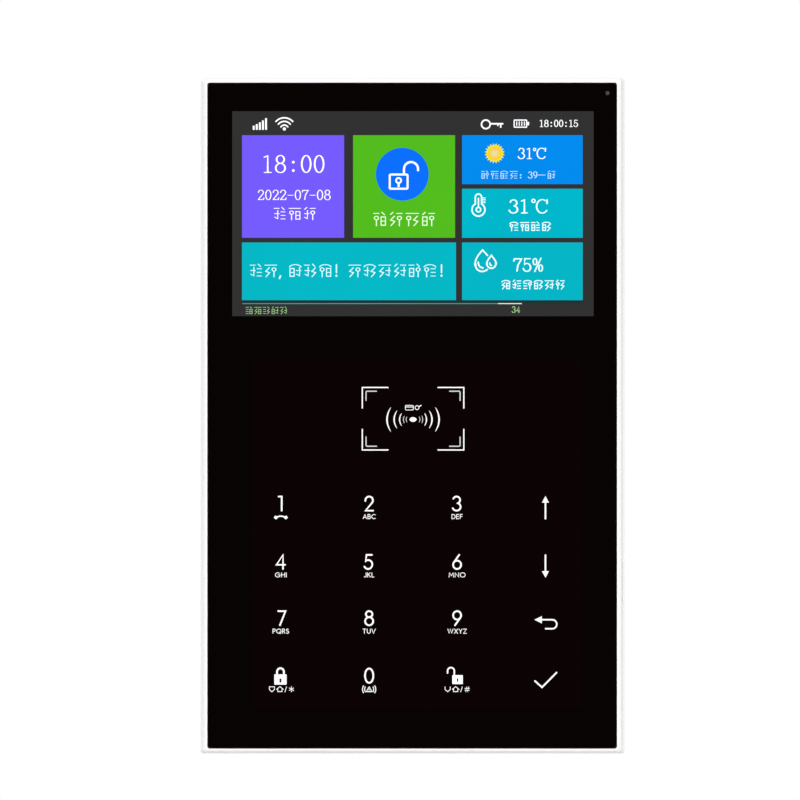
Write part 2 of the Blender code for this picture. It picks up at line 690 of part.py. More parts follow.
# Electronics --------------------------------------------------------------------------------------------
def main_board(materials):
    """Main circuit board with its soldered connectors and small parts."""
    front_y = MAIN_BOARD_Y[0]
    solder_y = front_y + 0.0003  # where a soldered part ends inside the board
    part_count, part_pitch, part_x = 6, 0.0026, -0.0070
    part_width, part_height, part_z = 0.0012, 0.0007, (0.0560, 0.0580)

    def sheet(bm):
        add_box(bm, (-BOARD_WIDTH / 2, BOARD_WIDTH / 2), MAIN_BOARD_Y, BOARD_Z)

    def connectors(bm):
        # x range, height over the board, z range
        shapes = [
            ((-0.0120, 0.0120), 0.0014, (0.0290, 0.0330)),
            ((-0.0390, -0.0270), 0.0014, (0.0205, 0.0245)),
            ((0.0350, 0.0410), 0.0028, (0.0190, 0.0240)),
            ((-0.0460, -0.0400), 0.0028, (0.0190, 0.0240)),
            ((-0.0080, -0.0020), 0.0020, (0.0660, 0.0720)),
            ((0.0420, 0.0480), 0.0016, (0.0560, 0.0620)),
        ]
        for x_range, height, z_range in shapes:
            add_box(bm, x_range, (front_y - height, solder_y), z_range)

    def small_parts(bm):
        for i in range(part_count):
            x = part_x + part_pitch * i
            add_box(bm, (x, x + part_width), (front_y - part_height, solder_y), part_z)

    def screw_holes(bm):
        for spot in BOARD_SCREWS:
            add_cylinder(bm, spot, BOARD_HOLE_RADIUS, spread(MAIN_BOARD_Y, REACH), SMALL_STEPS)

    board = make_part("main_board", materials["green_board"], sheet, smooth=False)
    join(board, "connectors", connectors)
    join(board, "small_parts", small_parts)
    cut(board, "screw_holes", screw_holes)


def modules(materials):
    """Shield can and radio modules on the main board's front side: x, z, width, height and thickness."""
    table = {
        "mcu_shield": ("nickel", -0.0270, 0.0480, 0.0280, 0.0260, 0.0022),
        "cellular_module": ("nickel", 0.0250, 0.0640, 0.0240, 0.0240, 0.0024),
        "wifi_module": ("nickel", 0.0260, 0.0360, 0.0180, 0.0200, 0.0026),
        "radio_module": ("green_board", -0.0260, 0.0710, 0.0200, 0.0100, 0.0016),
    }
    back = MAIN_BOARD_Y[0] - STACK_GAP
    for name, (material, x, z, width, height, thick) in table.items():
        outline = rounded_rect(width, height, MODULE_RADIUS, (x, z), steps=2)
        make_part(name, materials[material], lambda bm: add_prism(bm, outline, (back - thick, back)))


def antennas(materials):
    """Coil antenna over the board's top edge, film antenna under the top wall, and its coaxial lead."""
    coil = helix((-0.0300, -0.0095, 0.0828), "X", radius=0.0021, length=0.0140, turns=5, steps=8)
    make_wire("radio_antenna", materials["copper"], coil, 0.00035)

    def film(bm):
        add_box(bm, (-0.002, 0.038), (-0.0076, -0.0034), (0.0858, 0.0861))

    make_part("cellular_antenna", materials["amber_film"], film, smooth=False)
    route = [(0.010, -0.0050, 0.0850), (0.010, -0.0062, 0.0838), (0.0112, -0.0090, 0.0824)]
    route += [(0.0128, -0.0113, 0.0808), (0.0150, -0.0124, 0.0780), (0.0170, -0.0124, 0.0745)]
    make_wire("antenna_cable", materials["cable_black"], smooth_route(route), 0.0005)


def usb_port(materials):
    """USB-C receptacle whose mouth opens down into the cable bay."""
    wide, high = PORT_SIZE
    bottom, top = PORT_Z
    back_wall = 0.0010
    tongue_x, tongue_half = (-0.00335, 0.00335), 0.00035
    tongue_z = (bottom + 0.0008, top - BITE)

    def along_z(inset, z_range):
        """Prism along Z, with the port's outline drawn in by inset."""
        size = (wide - 2 * inset, high - 2 * inset)
        outline = rounded_rect(*size, PORT_RADIUS - inset, (0.0, PORT_Y), steps=3)
        return lambda bm: close_loops(bm, [[bm.verts.new((x, y, z)) for x, y in outline] for z in z_range])

    port = make_part("usb_port", materials["nickel"], along_z(0.0, PORT_Z))
    cut(port, "mouth", along_z(PORT_SHELL, (bottom - REACH, top - back_wall)))
    join(port, "tongue", lambda bm: add_box(bm, tongue_x, spread((PORT_Y, PORT_Y), tongue_half), tongue_z))


def sim_parts(materials):
    """SIM socket on the main board's rear side, and the tray and card that slide out of the left wall."""
    outer_x, inner_x = SIM_HEAD_X
    origin = (outer_x, SIM_Y, SIM_Z)
    tongue_x, tongue_half = (inner_x - STACK_GAP, -0.0374), (0.0005, 0.0057)  # half thickness, half width
    card_x, card_y, card_half = (-0.0512, -0.0389), (SIM_Y - 0.00015, SIM_Y + 0.00045), 0.0044
    pocket_floor_y = SIM_Y - 0.00025
    pin_hole_radius, pin_hole_z = 0.0004, SIM_Z + 0.0063
    socket_x, socket_y, socket_half = (-0.0498, -0.0358), (-0.0072, -0.0054), 0.0070
    slot_x, slot_half = (-0.0510, -0.0370), (0.00065, 0.0060)

    def across(half):
        return spread((SIM_Z, SIM_Z), half)

    def head(bm):
        length, depth = SIM_HEAD
        add_box(bm, SIM_HEAD_X, spread((SIM_Y, SIM_Y), depth / 2), across(length / 2))

    def tongue(bm):
        add_box(bm, tongue_x, spread((SIM_Y, SIM_Y), tongue_half[0]), across(tongue_half[1]))

    def pocket(bm):
        add_box(bm, spread(card_x, STACK_GAP), (pocket_floor_y, SIM_Y + REACH), across(card_half + STACK_GAP))

    def pin_hole(bm):
        profile = [(pin_hole_radius, x) for x in spread(SIM_HEAD_X, REACH)]
        add_turned(bm, (0.0, SIM_Y, pin_hole_z), profile, axis="X", steps=8)

    def card(bm):
        add_box(bm, card_x, card_y, across(card_half))

    def shell(bm):
        add_box(bm, socket_x, socket_y, across(socket_half))

    def slot(bm):
        add_box(bm, slot_x, spread((SIM_Y, SIM_Y), slot_half[0]), across(slot_half[1]))

    tray = make_part("sim_tray", materials["white_abs"], head, origin, smooth=False)
    join(tray, "tongue", tongue)
    cut(tray, "pocket", pocket)
    cut(tray, "pin_hole", pin_hole)
    make_part("sim_card", materials["label_paper"], card, origin, smooth=False)
    socket = make_part("sim_socket", materials["nickel"], shell, smooth=False)
    cut(socket, "slot", slot)


def battery(materials):
    """Lithium pouch cell on its foam pad, and the lead to the main board."""
    cell_y, pad_y = (-0.0102, -0.0057), (-0.0055, -0.0050)
    cell_outline = rounded_rect(*BATTERY_SIZE, 0.002, (0.0, BATTERY_Z), steps=3)
    pad_outline = rounded_rect(*BATTERY_PAD_SIZE, 0.001, (0.0, BATTERY_Z), steps=2)
    make_part("battery", materials["battery_foil"], lambda bm: add_prism(bm, cell_outline, cell_y))
    make_part("battery_pad", materials["black_foam"], lambda bm: add_prism(bm, pad_outline, pad_y))
    route = [(0.0200, -0.0085, -0.0241), (0.0215, -0.0088, -0.0215), (0.0240, -0.0095, -0.0150)]
    route += [(0.0255, -0.0100, -0.0020), (0.0290, -0.0102, 0.0080), (0.0350, -0.0103, 0.0140)]
    route += [(0.0380, -0.0103, 0.0183)]
    make_wire("battery_lead", materials["cable_black"], smooth_route(route, 3), 0.0007)


def speaker(materials):
    """Rectangular speaker behind the grille: frame with magnet, oval cone, gasket and lead."""
    wide, high = SPEAKER_SIZE
    frame_y, magnet_y = (-0.0060, -0.0034), (-0.0082, -0.0058)
    magnet_side = 0.014
    bowl_y, gasket_y = (-0.0053, -0.0030), (-0.0032, -0.0028)
    # depth, and what is taken off the frame's size
    cone_rings = [(-0.0050, 0.0100), (-0.0040, 0.0050), (-0.0036, 0.0044)]

    def block(width, height):
        return rounded_rect(width, height, SPEAKER_RADIUS, (0.0, SPEAKER_Z), 2)

    def oval(margin):
        radius = (high - margin) / 2 - FLAT_LEFT
        return rounded_rect(wide - margin, high - margin, radius, (0.0, SPEAKER_Z))

    def shell(bm):
        add_prism(bm, block(wide, high), frame_y)

    def magnet(bm):
        add_prism(bm, block(magnet_side, magnet_side), magnet_y)

    def seal(bm):
        add_prism(bm, block(wide, high), gasket_y)

    def cone(bm):
        add_loft(bm, [(y, oval(margin)) for y, margin in cone_rings])

    frame = make_part("speaker_frame", materials["black_plastic"], shell)
    join(frame, "magnet", magnet)
    cut(frame, "bowl", lambda bm: add_prism(bm, oval(SPEAKER_RIM), bowl_y))
    make_part("speaker_cone", materials["cable_black"], cone)
    gasket = make_part("speaker_gasket", materials["black_foam"], seal)
    cut(gasket, "window", lambda bm: add_prism(bm, oval(SPEAKER_RIM), spread(gasket_y, REACH)))
    route = [(-0.0100, -0.0072, -0.0659), (-0.0140, -0.0072, -0.0647), (-0.0260, -0.0078, -0.0645)]
    route += [(-0.0370, -0.0080, -0.0600), (-0.0425, -0.0084, -0.0480), (-0.0438, -0.0090, -0.0300)]
    route += [(-0.0438, -0.0096, -0.0100), (-0.0434, -0.0100, 0.0080), (-0.0430, -0.0103, 0.0184)]
    make_wire("speaker_lead", materials["cable_black"], smooth_route(route, 3), 0.0006)


def microphone(materials):
    """Microphone behind its port: dust mesh, rubber boot, capsule and lead."""
    mesh_spot, mesh_radius = (MIC_X, MIC_Z + MIC_LIFT), 0.0011
    mesh_y = (LENS_BACK_Y + STACK_GAP, SHELF_Y - STACK_GAP)
    boot_y, capsule_y = (-0.0138, -0.0120), (-0.0118, -0.0108)

    def block(y_range):
        return lambda bm: add_box(bm, MIC_X_RANGE, y_range, MIC_Z_RANGE)

    def mesh(bm):
        add_cylinder(bm, mesh_spot, mesh_radius, mesh_y, 12)

    def port(bm):
        add_cylinder(bm, (MIC_X, MIC_Z), MIC_RADIUS, spread(boot_y, REACH), SMALL_STEPS)

    make_part("mic_mesh", materials["zinc_steel"], mesh)
    boot = make_part("mic_boot", materials["black_foam"], block(boot_y))
    cut(boot, "port", port)
    make_part("microphone", materials["nickel"], block(capsule_y))
    route = [(0.0507, -0.0101, 0.0842), (0.0504, -0.0099, 0.0815), (0.0492, -0.0100, 0.0780)]
    route += [(0.0490, -0.0100, 0.0700), (0.0478, -0.0100, 0.0650), (0.0465, -0.0100, 0.0626)]
    make_wire("mic_lead", materials["cable_black"], smooth_route(route, 3), 0.0004)


def power_key(materials):
    """Spring-return key in the right wall, with the stem of the side-push switch that it works."""
    origin = (KEY_FACE_X, sum(KEY_DEPTH_Y) / 2, KEY_Z)
    edge = 0.0003  # step round the key's outer face
    # x range, y range, half height
    flange = ((0.0517, 0.0527), (-0.0138, -0.0096), 0.0070)
    nib = ((0.0493, 0.0520), (-0.0119, -0.0105), 0.0015)
    stem = ((0.0465, 0.0491), (-0.0117, -0.0107), 0.0009)
    switch = ((0.0436, 0.0480), (-0.0120, -0.0100), 0.0024)
    stem_hole = ((0.0458, 0.0490), spread(stem[1], KEY_CLEARANCE), 0.0011)

    def block(x_range, y_range, half_height):
        return lambda bm: add_box(bm, x_range, y_range, spread((KEY_Z, KEY_Z), half_height))

    def cap(bm):
        add_key_outline(bm, 0.0, (0.0524, KEY_FACE_X - edge))

    def cap_face(bm):
        add_key_outline(bm, -edge, (KEY_FACE_X - 2 * edge, KEY_FACE_X))

    key = make_part("power_key", materials["white_abs"], cap, origin)
    join(key, "cap_face", cap_face)
    join(key, "flange", block(*flange))
    join(key, "nib", block(*nib))
    make_part("power_switch_stem", materials["black_plastic"], block(*stem), origin, smooth=False)
    body = make_part("power_switch", materials["nickel"], block(*switch), smooth=False)
    cut(body, "stem_hole", block(*stem_hole))


def tamper_parts(materials):
    """Plunger that the bracket presses, its spring, and the switch on the keypad board."""
    tip_y, tip_chamfer = -0.0019, 0.0004
    flange_y, flange_radius = (-0.0062, -0.0051), 0.0030
    switch_y, switch_half = (-0.0120, -0.0096), 0.0030
    stem_y, stem_radius = (-0.0098, -0.0080), 0.0008

    def plunger(bm):
        profile = [(flange_radius, flange_y[0]), (flange_radius, flange_y[1]), (TAMPER_RADIUS, flange_y[1])]
        profile += [(TAMPER_RADIUS, tip_y - tip_chamfer), (TAMPER_RADIUS - tip_chamfer, tip_y)]
        add_turned(bm, (TAMPER_X, 0.0, TAMPER_Z), profile, steps=TAMPER_STEPS)

    def switch(bm):
        x_range, z_range = (spread((middle, middle), switch_half) for middle in (TAMPER_X, TAMPER_Z))
        add_box(bm, x_range, switch_y, z_range)

    def switch_stem(bm):
        add_cylinder(bm, (TAMPER_X, TAMPER_Z), stem_radius, stem_y, SMALL_STEPS)

    make_part("tamper_plunger", materials["white_abs"], plunger, (TAMPER_X, tip_y, TAMPER_Z))
    body = make_part("tamper_switch", materials["black_plastic"], switch, smooth=False)
    join(body, "stem", switch_stem)
    coil = helix((TAMPER_X, -0.0092, TAMPER_Z), "Y", radius=0.0015, length=0.0026, turns=4, steps=8)
    make_wire("tamper_spring", materials["nickel"], coil, 0.00015, resolution=0)


# Fasteners, label and bracket ---------------------------------------------------------------------------
def screw_mesh(name, profile, recess_y):
    """Pan-head screw turned about Y with a cross recess in its head."""
    blade, arm = 0.00035, 0.0011

    def body(bm):
        add_turned(bm, (0.0, 0.0, 0.0), profile, steps=12)

    def recess(bm):
        outline = [(blade, blade), (arm, blade), (arm, -blade), (blade, -blade)]
        outline += [(blade, -arm), (-blade, -arm), (-blade, -blade), (-arm, -blade)]
        outline += [(-arm, blade), (-blade, blade), (-blade, arm), (blade, arm)]
        add_prism(bm, outline, recess_y)

    source = place(f"{name}_source", build_mesh(name, body))
    cut(source, "recess", recess)
    graph = bpy.context.evaluated_depsgraph_get()
    mesh = bpy.data.meshes.new_from_object(source.evaluated_get(graph))
    for helper in (source, bpy.data.objects[f"{name}_source_recess"]):
        bpy.data.objects.remove(helper)
    mesh.name = name
    return mesh


def screws(materials):
    """Cover screws driven from the wall side, board screws driven from the front."""
    cover_profile = [(0.0011, -0.0112), (0.0011, -0.0042), (0.0023, -0.0042), (0.0023, -0.0030)]
    cover_profile += [(0.0018, -0.0026)]
    board_profile = [(0.0013, -0.0108), (0.0018, -0.0104), (0.0018, -0.0092), (0.0008, -0.0092)]
    board_profile += [(0.0008, -0.0054)]
    kinds = [
        ("cover_screw", cover_profile, (-0.0034, -0.0020), COVER_SCREWS),
        ("board_screw", board_profile, (-0.0115, -0.0101), BOARD_SCREWS),
    ]
    for name, profile, recess_y, spots in kinds:
        mesh = screw_mesh(name, profile, recess_y)
        mesh.materials.append(materials["zinc_steel"])
        for number, (x, z) in enumerate(spots, 1):
            obj = bpy.data.objects.new(f"{name}_{number}", mesh)
            obj.location = (x, 0.0, z)
            bpy.context.scene.collection.objects.link(obj)


def rating_label(materials):
    """Blank label on the flat strip over the bracket recess."""
    outline = rounded_rect(*LABEL_SIZE, 0.0015, (0.0, LABEL_Z), steps=3)
    front_y = COVER_BACK_Y + STACK_GAP
    y_range = (front_y, front_y + LABEL_THICK)
    make_part("rating_label", materials["label_paper"], lambda bm: add_prism(bm, outline, y_range))


def wall_bracket(materials):
    """Stamped steel plate with two cable openings, wall-screw slots and four upward hooks."""
    plate_radius, opening_radius, seat_radius = 0.004, 0.003, 0.002
    slot_radius = 0.0022
    lip_radius = 0.0010
    hook_spots = [(x, top) for top in HOOK_TOPS for x in (-HOOK_X, HOOK_X)]

    def plate(bm):
        outline = rounded_rect(BRACKET_WIDTH, BRACKET_HEIGHT, plate_radius)
        add_prism(bm, outline, (-BRACKET_THICK, 0.0))

    def screw_seats(bm):
        for x in (-WALL_SCREW_X, WALL_SCREW_X):
            seat = rounded_rect(*SCREW_SEAT, seat_radius, (x, 0.0), steps=3)
            add_prism(bm, seat, (-BRACKET_THICK - REACH, SCREW_SEAT_DEPTH - BRACKET_THICK))

    def openings(bm):
        through = spread((-BRACKET_THICK, 0.0), REACH)
        for z in (-CABLE_HOLE_Z, CABLE_HOLE_Z):
            add_prism(bm, rounded_rect(*CABLE_HOLE, opening_radius, (0.0, z), steps=3), through)
        wide, long = SCREW_SLOT
        for x in (-WALL_SCREW_X, WALL_SCREW_X):
            add_prism(bm, rounded_rect(wide, long, slot_radius, (x, 0.0), steps=3), through)
            for z in (-WALL_SCREW_Z, WALL_SCREW_Z):
                add_prism(bm, rounded_rect(long, wide, slot_radius, (x, z), steps=3), through)

    def hook_tabs(bm):
        y_range = (HOOK_LIP_Y[0] + HOOK_BITE[0], HOOK_BITE[1] - BRACKET_THICK)
        for x, top in hook_spots:
            add_box(bm, spread((x, x), HOOK_WIDTH / 2), y_range, (top - HOOK_TAB, top))

    def hook_lips(bm):
        height = HOOK_LIP_HEIGHT + HOOK_TAB
        for x, top in hook_spots:
            middle = (x, top - HOOK_TAB + height / 2)
            add_prism(bm, rounded_rect(HOOK_WIDTH, height, lip_radius, middle, 2), HOOK_LIP_Y)

    bracket = make_part("wall_bracket", materials["zinc_steel"], plate)
    cut(bracket, "screw_seats", screw_seats)
    cut(bracket, "openings", openings)
    join(bracket, "hook_tabs", hook_tabs)
    join(bracket, "hook_lips", hook_lips)


def clear_scene():
    for obj in list(bpy.data.objects):
        bpy.data.objects.remove(obj)


def main():
    clear_scene()
    materials = make_materials()
    wall_bracket(materials)
    rear_cover(materials)
    front_frame(materials)
    front_lens(materials)
    lens_adhesive(materials)
    display(materials)
    keypad(materials)
    main_board(materials)
    modules(materials)
    antennas(materials)
    usb_port(materials)
    sim_parts(materials)
    battery(materials)
    speaker(materials)
    microphone(materials)
    power_key(materials)
    tamper_parts(materials)
    screws(materials)
    rating_label(materials)


main()
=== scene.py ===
"""Looks of the alarm keypad panel: finishes, the lit legends and display behind the lens, light and camera.

Flat artwork is drawn in millimetres from the panel's centre, x to the right and z up, as seen from the front.
"""

import math
import random

import bmesh
import bpy
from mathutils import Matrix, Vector


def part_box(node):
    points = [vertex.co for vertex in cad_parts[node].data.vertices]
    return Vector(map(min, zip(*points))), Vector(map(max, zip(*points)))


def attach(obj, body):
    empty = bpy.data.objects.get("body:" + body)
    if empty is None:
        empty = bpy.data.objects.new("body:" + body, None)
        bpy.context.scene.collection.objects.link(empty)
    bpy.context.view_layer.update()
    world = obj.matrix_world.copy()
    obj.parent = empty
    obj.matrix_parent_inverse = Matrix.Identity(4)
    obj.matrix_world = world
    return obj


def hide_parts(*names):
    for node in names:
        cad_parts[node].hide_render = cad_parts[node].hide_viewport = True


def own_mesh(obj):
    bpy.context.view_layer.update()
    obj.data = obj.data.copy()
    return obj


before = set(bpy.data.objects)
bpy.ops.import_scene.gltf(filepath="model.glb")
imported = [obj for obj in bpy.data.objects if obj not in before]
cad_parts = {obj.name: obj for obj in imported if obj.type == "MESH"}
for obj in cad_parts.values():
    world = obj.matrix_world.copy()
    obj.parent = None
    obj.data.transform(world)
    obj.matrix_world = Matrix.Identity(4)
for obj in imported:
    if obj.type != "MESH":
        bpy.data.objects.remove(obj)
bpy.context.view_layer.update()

MM = 0.001
FULL_TURN = 2 * math.pi

# depths behind the lens, in metres: the viewer is on the -Y side
LENS_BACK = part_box("front_lens")[1].y
GLASS_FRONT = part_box("lcd_glass")[0].y
LEGEND_Y = (LENS_BACK + 0.00003, LENS_BACK + 0.00008)
ZONE_Y = (LENS_BACK + 0.00009, LENS_BACK + 0.00011)
PRINT_Y = (LENS_BACK + 0.00012, LENS_BACK + 0.00017)
SCREEN_Y = (GLASS_FRONT - 0.00006, GLASS_FRONT - 0.00002)
TILE_Y = (GLASS_FRONT - 0.00012, GLASS_FRONT - 0.00008)
BADGE_Y = (GLASS_FRONT - 0.00018, GLASS_FRONT - 0.00014)
ICON_Y = (GLASS_FRONT - 0.00026, GLASS_FRONT - 0.00020)

ART_CENTRE = 0.1  # the lit artwork's centre line, in millimetres right of the panel's

# the display's picture, in millimetres: (x range, z range)
SCREEN = ((-47.27, 47.65), (26.12, 79.94))
TILES = {
    "tile_clock": ((-44.8, -17.98), (46.71, 73.65), (118, 92, 255)),
    "tile_state": ((-15.62, 11.16), (46.71, 73.65), (84, 189, 30)),
    "tile_weather": ((13.0, 44.68), (60.8, 73.65), (2, 140, 240)),
    "tile_heat": ((13.0, 44.68), (46.71, 59.59), (0, 184, 204)),
    "tile_damp": ((13.0, 44.68), (30.32, 45.47), (4, 183, 200)),
    "tile_greeting": ((-44.8, 11.4), (30.32, 45.47), (5, 185, 199)),
    "tile_shade": ((-44.5, 44.5), (29.55, 30.28), (30, 52, 54)),
}
BADGE = ((-2.7, 63.4), 6.93)
BADGE_SIDES = 64
SUN = ((21.57, 68.9), 2.0, 2.68)  # centre, and its spikes' inner and outer radius
SUN_SPIKES = 20
LINE_Z = 29.43  # the thin line under the tiles: its height, ends, where it turns white, and width
LINE_X = (-44.7, 22.45, 28.7)
LINE_STROKE = 0.25
SPILL = 0.3  # how far the picture reaches behind the print's edge

# the print on the lens, in millimetres
PRINT_INSET = 0.05
PRINT_CORNER = 0.9
SCREEN_CORNER = 0.2
ZONE = ((-42.1, 44.8), (-76.8, 14.6))
ZONE_CORNER = 1.0
MIC = ((51.3, 84.7), 0.56)

# the border on the rating label, in millimetres
LABEL_INSET = 1.2
LABEL_CORNER = 0.8
LABEL_STROKE = 0.25

# the touch keys, in millimetres
KEY_X = (-34.6, -11.4, 11.7, 34.8)
KEY_Z = (-23.1, -38.42, -53.2, -68.3)
KEY_STROKE = 0.43
DIGIT_SCALE = (0.92, 0.965)
LETTER_DROP = 3.98  # from a digit's centre to the foot of its letters
LETTER_HEIGHT = 1.14
LETTER_STROKE = 0.17
LETTER_GAP = 0.3  # between letters, as a share of their unit width
SIGN_STROKE = 0.17
ALERT_STROKE = 0.22
STAR_STROKE = 0.15
HASH_STROKE = 0.13
HANDSET_STROKE = 0.34
LETTERS = {
    (1, 0): ("ABC", 3.2),
    (2, 0): ("DEF", 2.75),
    (0, 1): ("GHI", 2.9),
    (1, 1): ("JKL", 2.6),
    (2, 1): ("MNO", 4.25),
    (0, 2): ("PQRS", 4.15),
    (1, 2): ("TUV", 3.25),
    (2, 2): ("WXYZ", 4.9),
}

# the card reader's mark, in millimetres
READER = (0.13, -0.81)
READER_HALF = (13.33, 8.21)
READER_ARMS = (6.8, 5.42)
READER_INNER_ARMS = (2.75, 2.42)
READER_BRACKET = 0.31  # width of the outer corners' line, and of the inner ones'
READER_STROKE = 0.3
READER_STEP = 0.98  # from the outer corners in to the inner ones
READER_BEND = 0.3
WAVE_STEPS = 8  # to each side of a wave's middle
WAVE_TIP = 0.035  # half a wave's thickness at its ends
BRIGHT_WAVES = 3
READER_WAVES = (
    # middle, ends, half height, thickness
    (6.84, 5.83, 3.2, 0.32),
    (4.98, 4.2, 2.35, 0.28),
    (3.53, 3.0, 1.66, 0.24),
    (2.52, 2.29, 1.0, 0.13),
    (1.8, 1.57, 0.78, 0.12),
)

# finishes: how strongly the screen, the lit marks and the sun shine, and how far a glow drifts
GLOW = 1.11
WHITE_GLOW = 1.32  # a camera overexposes the marks a little
SUN_GLOW = 1.08
GLOW_DRIFT = 0.97
NOISE_SPAN = (0.3, 0.7)  # where most of a noise's values lie
LENS_IOR = 1.49

# pieces whose finish differs from their slot's: the coarser rear half, the greyer key, the woven mesh
OWN_FINISHES = {
    # the rear cover's finish is whiter than the front's: painted light that makes up for the shade on its
    # ledge beside the front frame
    "rear_cover": "white_abs_rear",
    "sim_tray": "white_abs_rear",
    "tamper_plunger": "white_abs_rear",
    # the key's grey is painted shade, standing in for its grazing face and the shadow in the gap round it
    "power_key": "white_abs_key",
    "mic_mesh": "mesh_grey",
}

# broken edges of the CAD nodes, in metres
EDGE = 0.00012
WIDER_EDGES = {"rear_cover": 0.00025}
EDGE_ANGLE = 38  # degrees
WELD = 0.000002
THIN = 0.0008  # nodes thinner than this keep their edges

# the tamper plunger's spring, in metres
SPRING_WIRE = 0.0003
SPRING_TURNS = 4
SPRING_GAP = 0.00005  # to the plunger's flange
SPRING_STEPS = 20  # round a turn, and round the wire
WIRE_SIDES = 8

# camera and light
VIEW_WIDTH = 0.21003  # what the picture's width spans at the lens
CAMERA_AWAY = 4.0
CAMERA_TURN = 0.33  # degrees to the right
CAMERA_RISE = 0.22  # degrees above
CAMERA_SHIFT = (-0.0151875, 0.0195625)  # in shares of the picture's width
SENSOR = 36.0
FILL = 0.6  # the room's light on rough surfaces
ROOM = 0.55  # what glossy surfaces mirror of the room
CARD = 0.006  # and of the dark card in front
CARD_EDGE = (0.15, 0.8)  # where the card fades in, as the cosine of the angle from straight ahead
FLOOR_Z = -0.15
FLOOR_RADIUS = 0.62
FLOOR_FADE = (0.22, 0.6)
LAMPS = (
    # name, place, diameter, power, whether glossy surfaces mirror it
    ("key_left", (-1.3, -1.8, 1.0), 1.5, 24.5, False),
    ("key_right", (1.5, -1.7, 0.9), 1.5, 24.5, False),
    ("top", (0, -0.2, 2.0), 1.4, 6, False),
    ("back_left", (-1.4, 1.8, 0.9), 1.2, 13, True),
    ("back_right", (1.7, 1.4, 1.3), 1.0, 6, True),
)


# ---- flat artwork ----


def arc(cx, cz, rx, rz, start, end):
    """Points round an ellipse from start to end, in degrees."""
    steps = max(4, round(abs(end - start) / 15))
    turns = [math.radians(start + (end - start) * i / steps) for i in range(steps + 1)]
    return [(cx + rx * math.cos(a), cz + rz * math.sin(a)) for a in turns]


def ring(cx, cz, rx, rz=None):
    return arc(cx, cz, rx, rz or rx, 0, 360)


def spiked(centre, radii):
    """Closed outline round a centre, with one corner at each of the radii."""
    turns = [FULL_TURN * i / len(radii) for i in range(len(radii))]
    return moved([(r * math.cos(a), r * math.sin(a)) for r, a in zip(radii, turns, strict=True)], centre)


def bezier(a, b, c, d):
    a, b, c, d = (Vector(p) for p in (a, b, c, d))
    steps = 8
    out = []
    for i in range(steps + 1):
        t = i / steps
        u = 1 - t
        p = a * u**3 + b * 3 * u * u * t + c * 3 * u * t * t + d * t**3
        out.append((p.x, p.y))
    return out


def rounded(x_range, z_range, radius):
    """Corner-rounded rectangle as a closed outline."""
    (x0, x1), (z0, z1) = x_range, z_range
    corners = ((x1 - radius, z0 + radius, -90), (x1 - radius, z1 - radius, 0))
    corners += ((x0 + radius, z1 - radius, 90), (x0 + radius, z0 + radius, 180))
    out = []
    for cx, cz, start in corners:
        out += arc(cx, cz, radius, radius, start, start + 90)
    return out


def moved(points, at, scale=(1.0, 1.0)):
    return [(at[0] + x * scale[0], at[1] + z * scale[1]) for x, z in points]


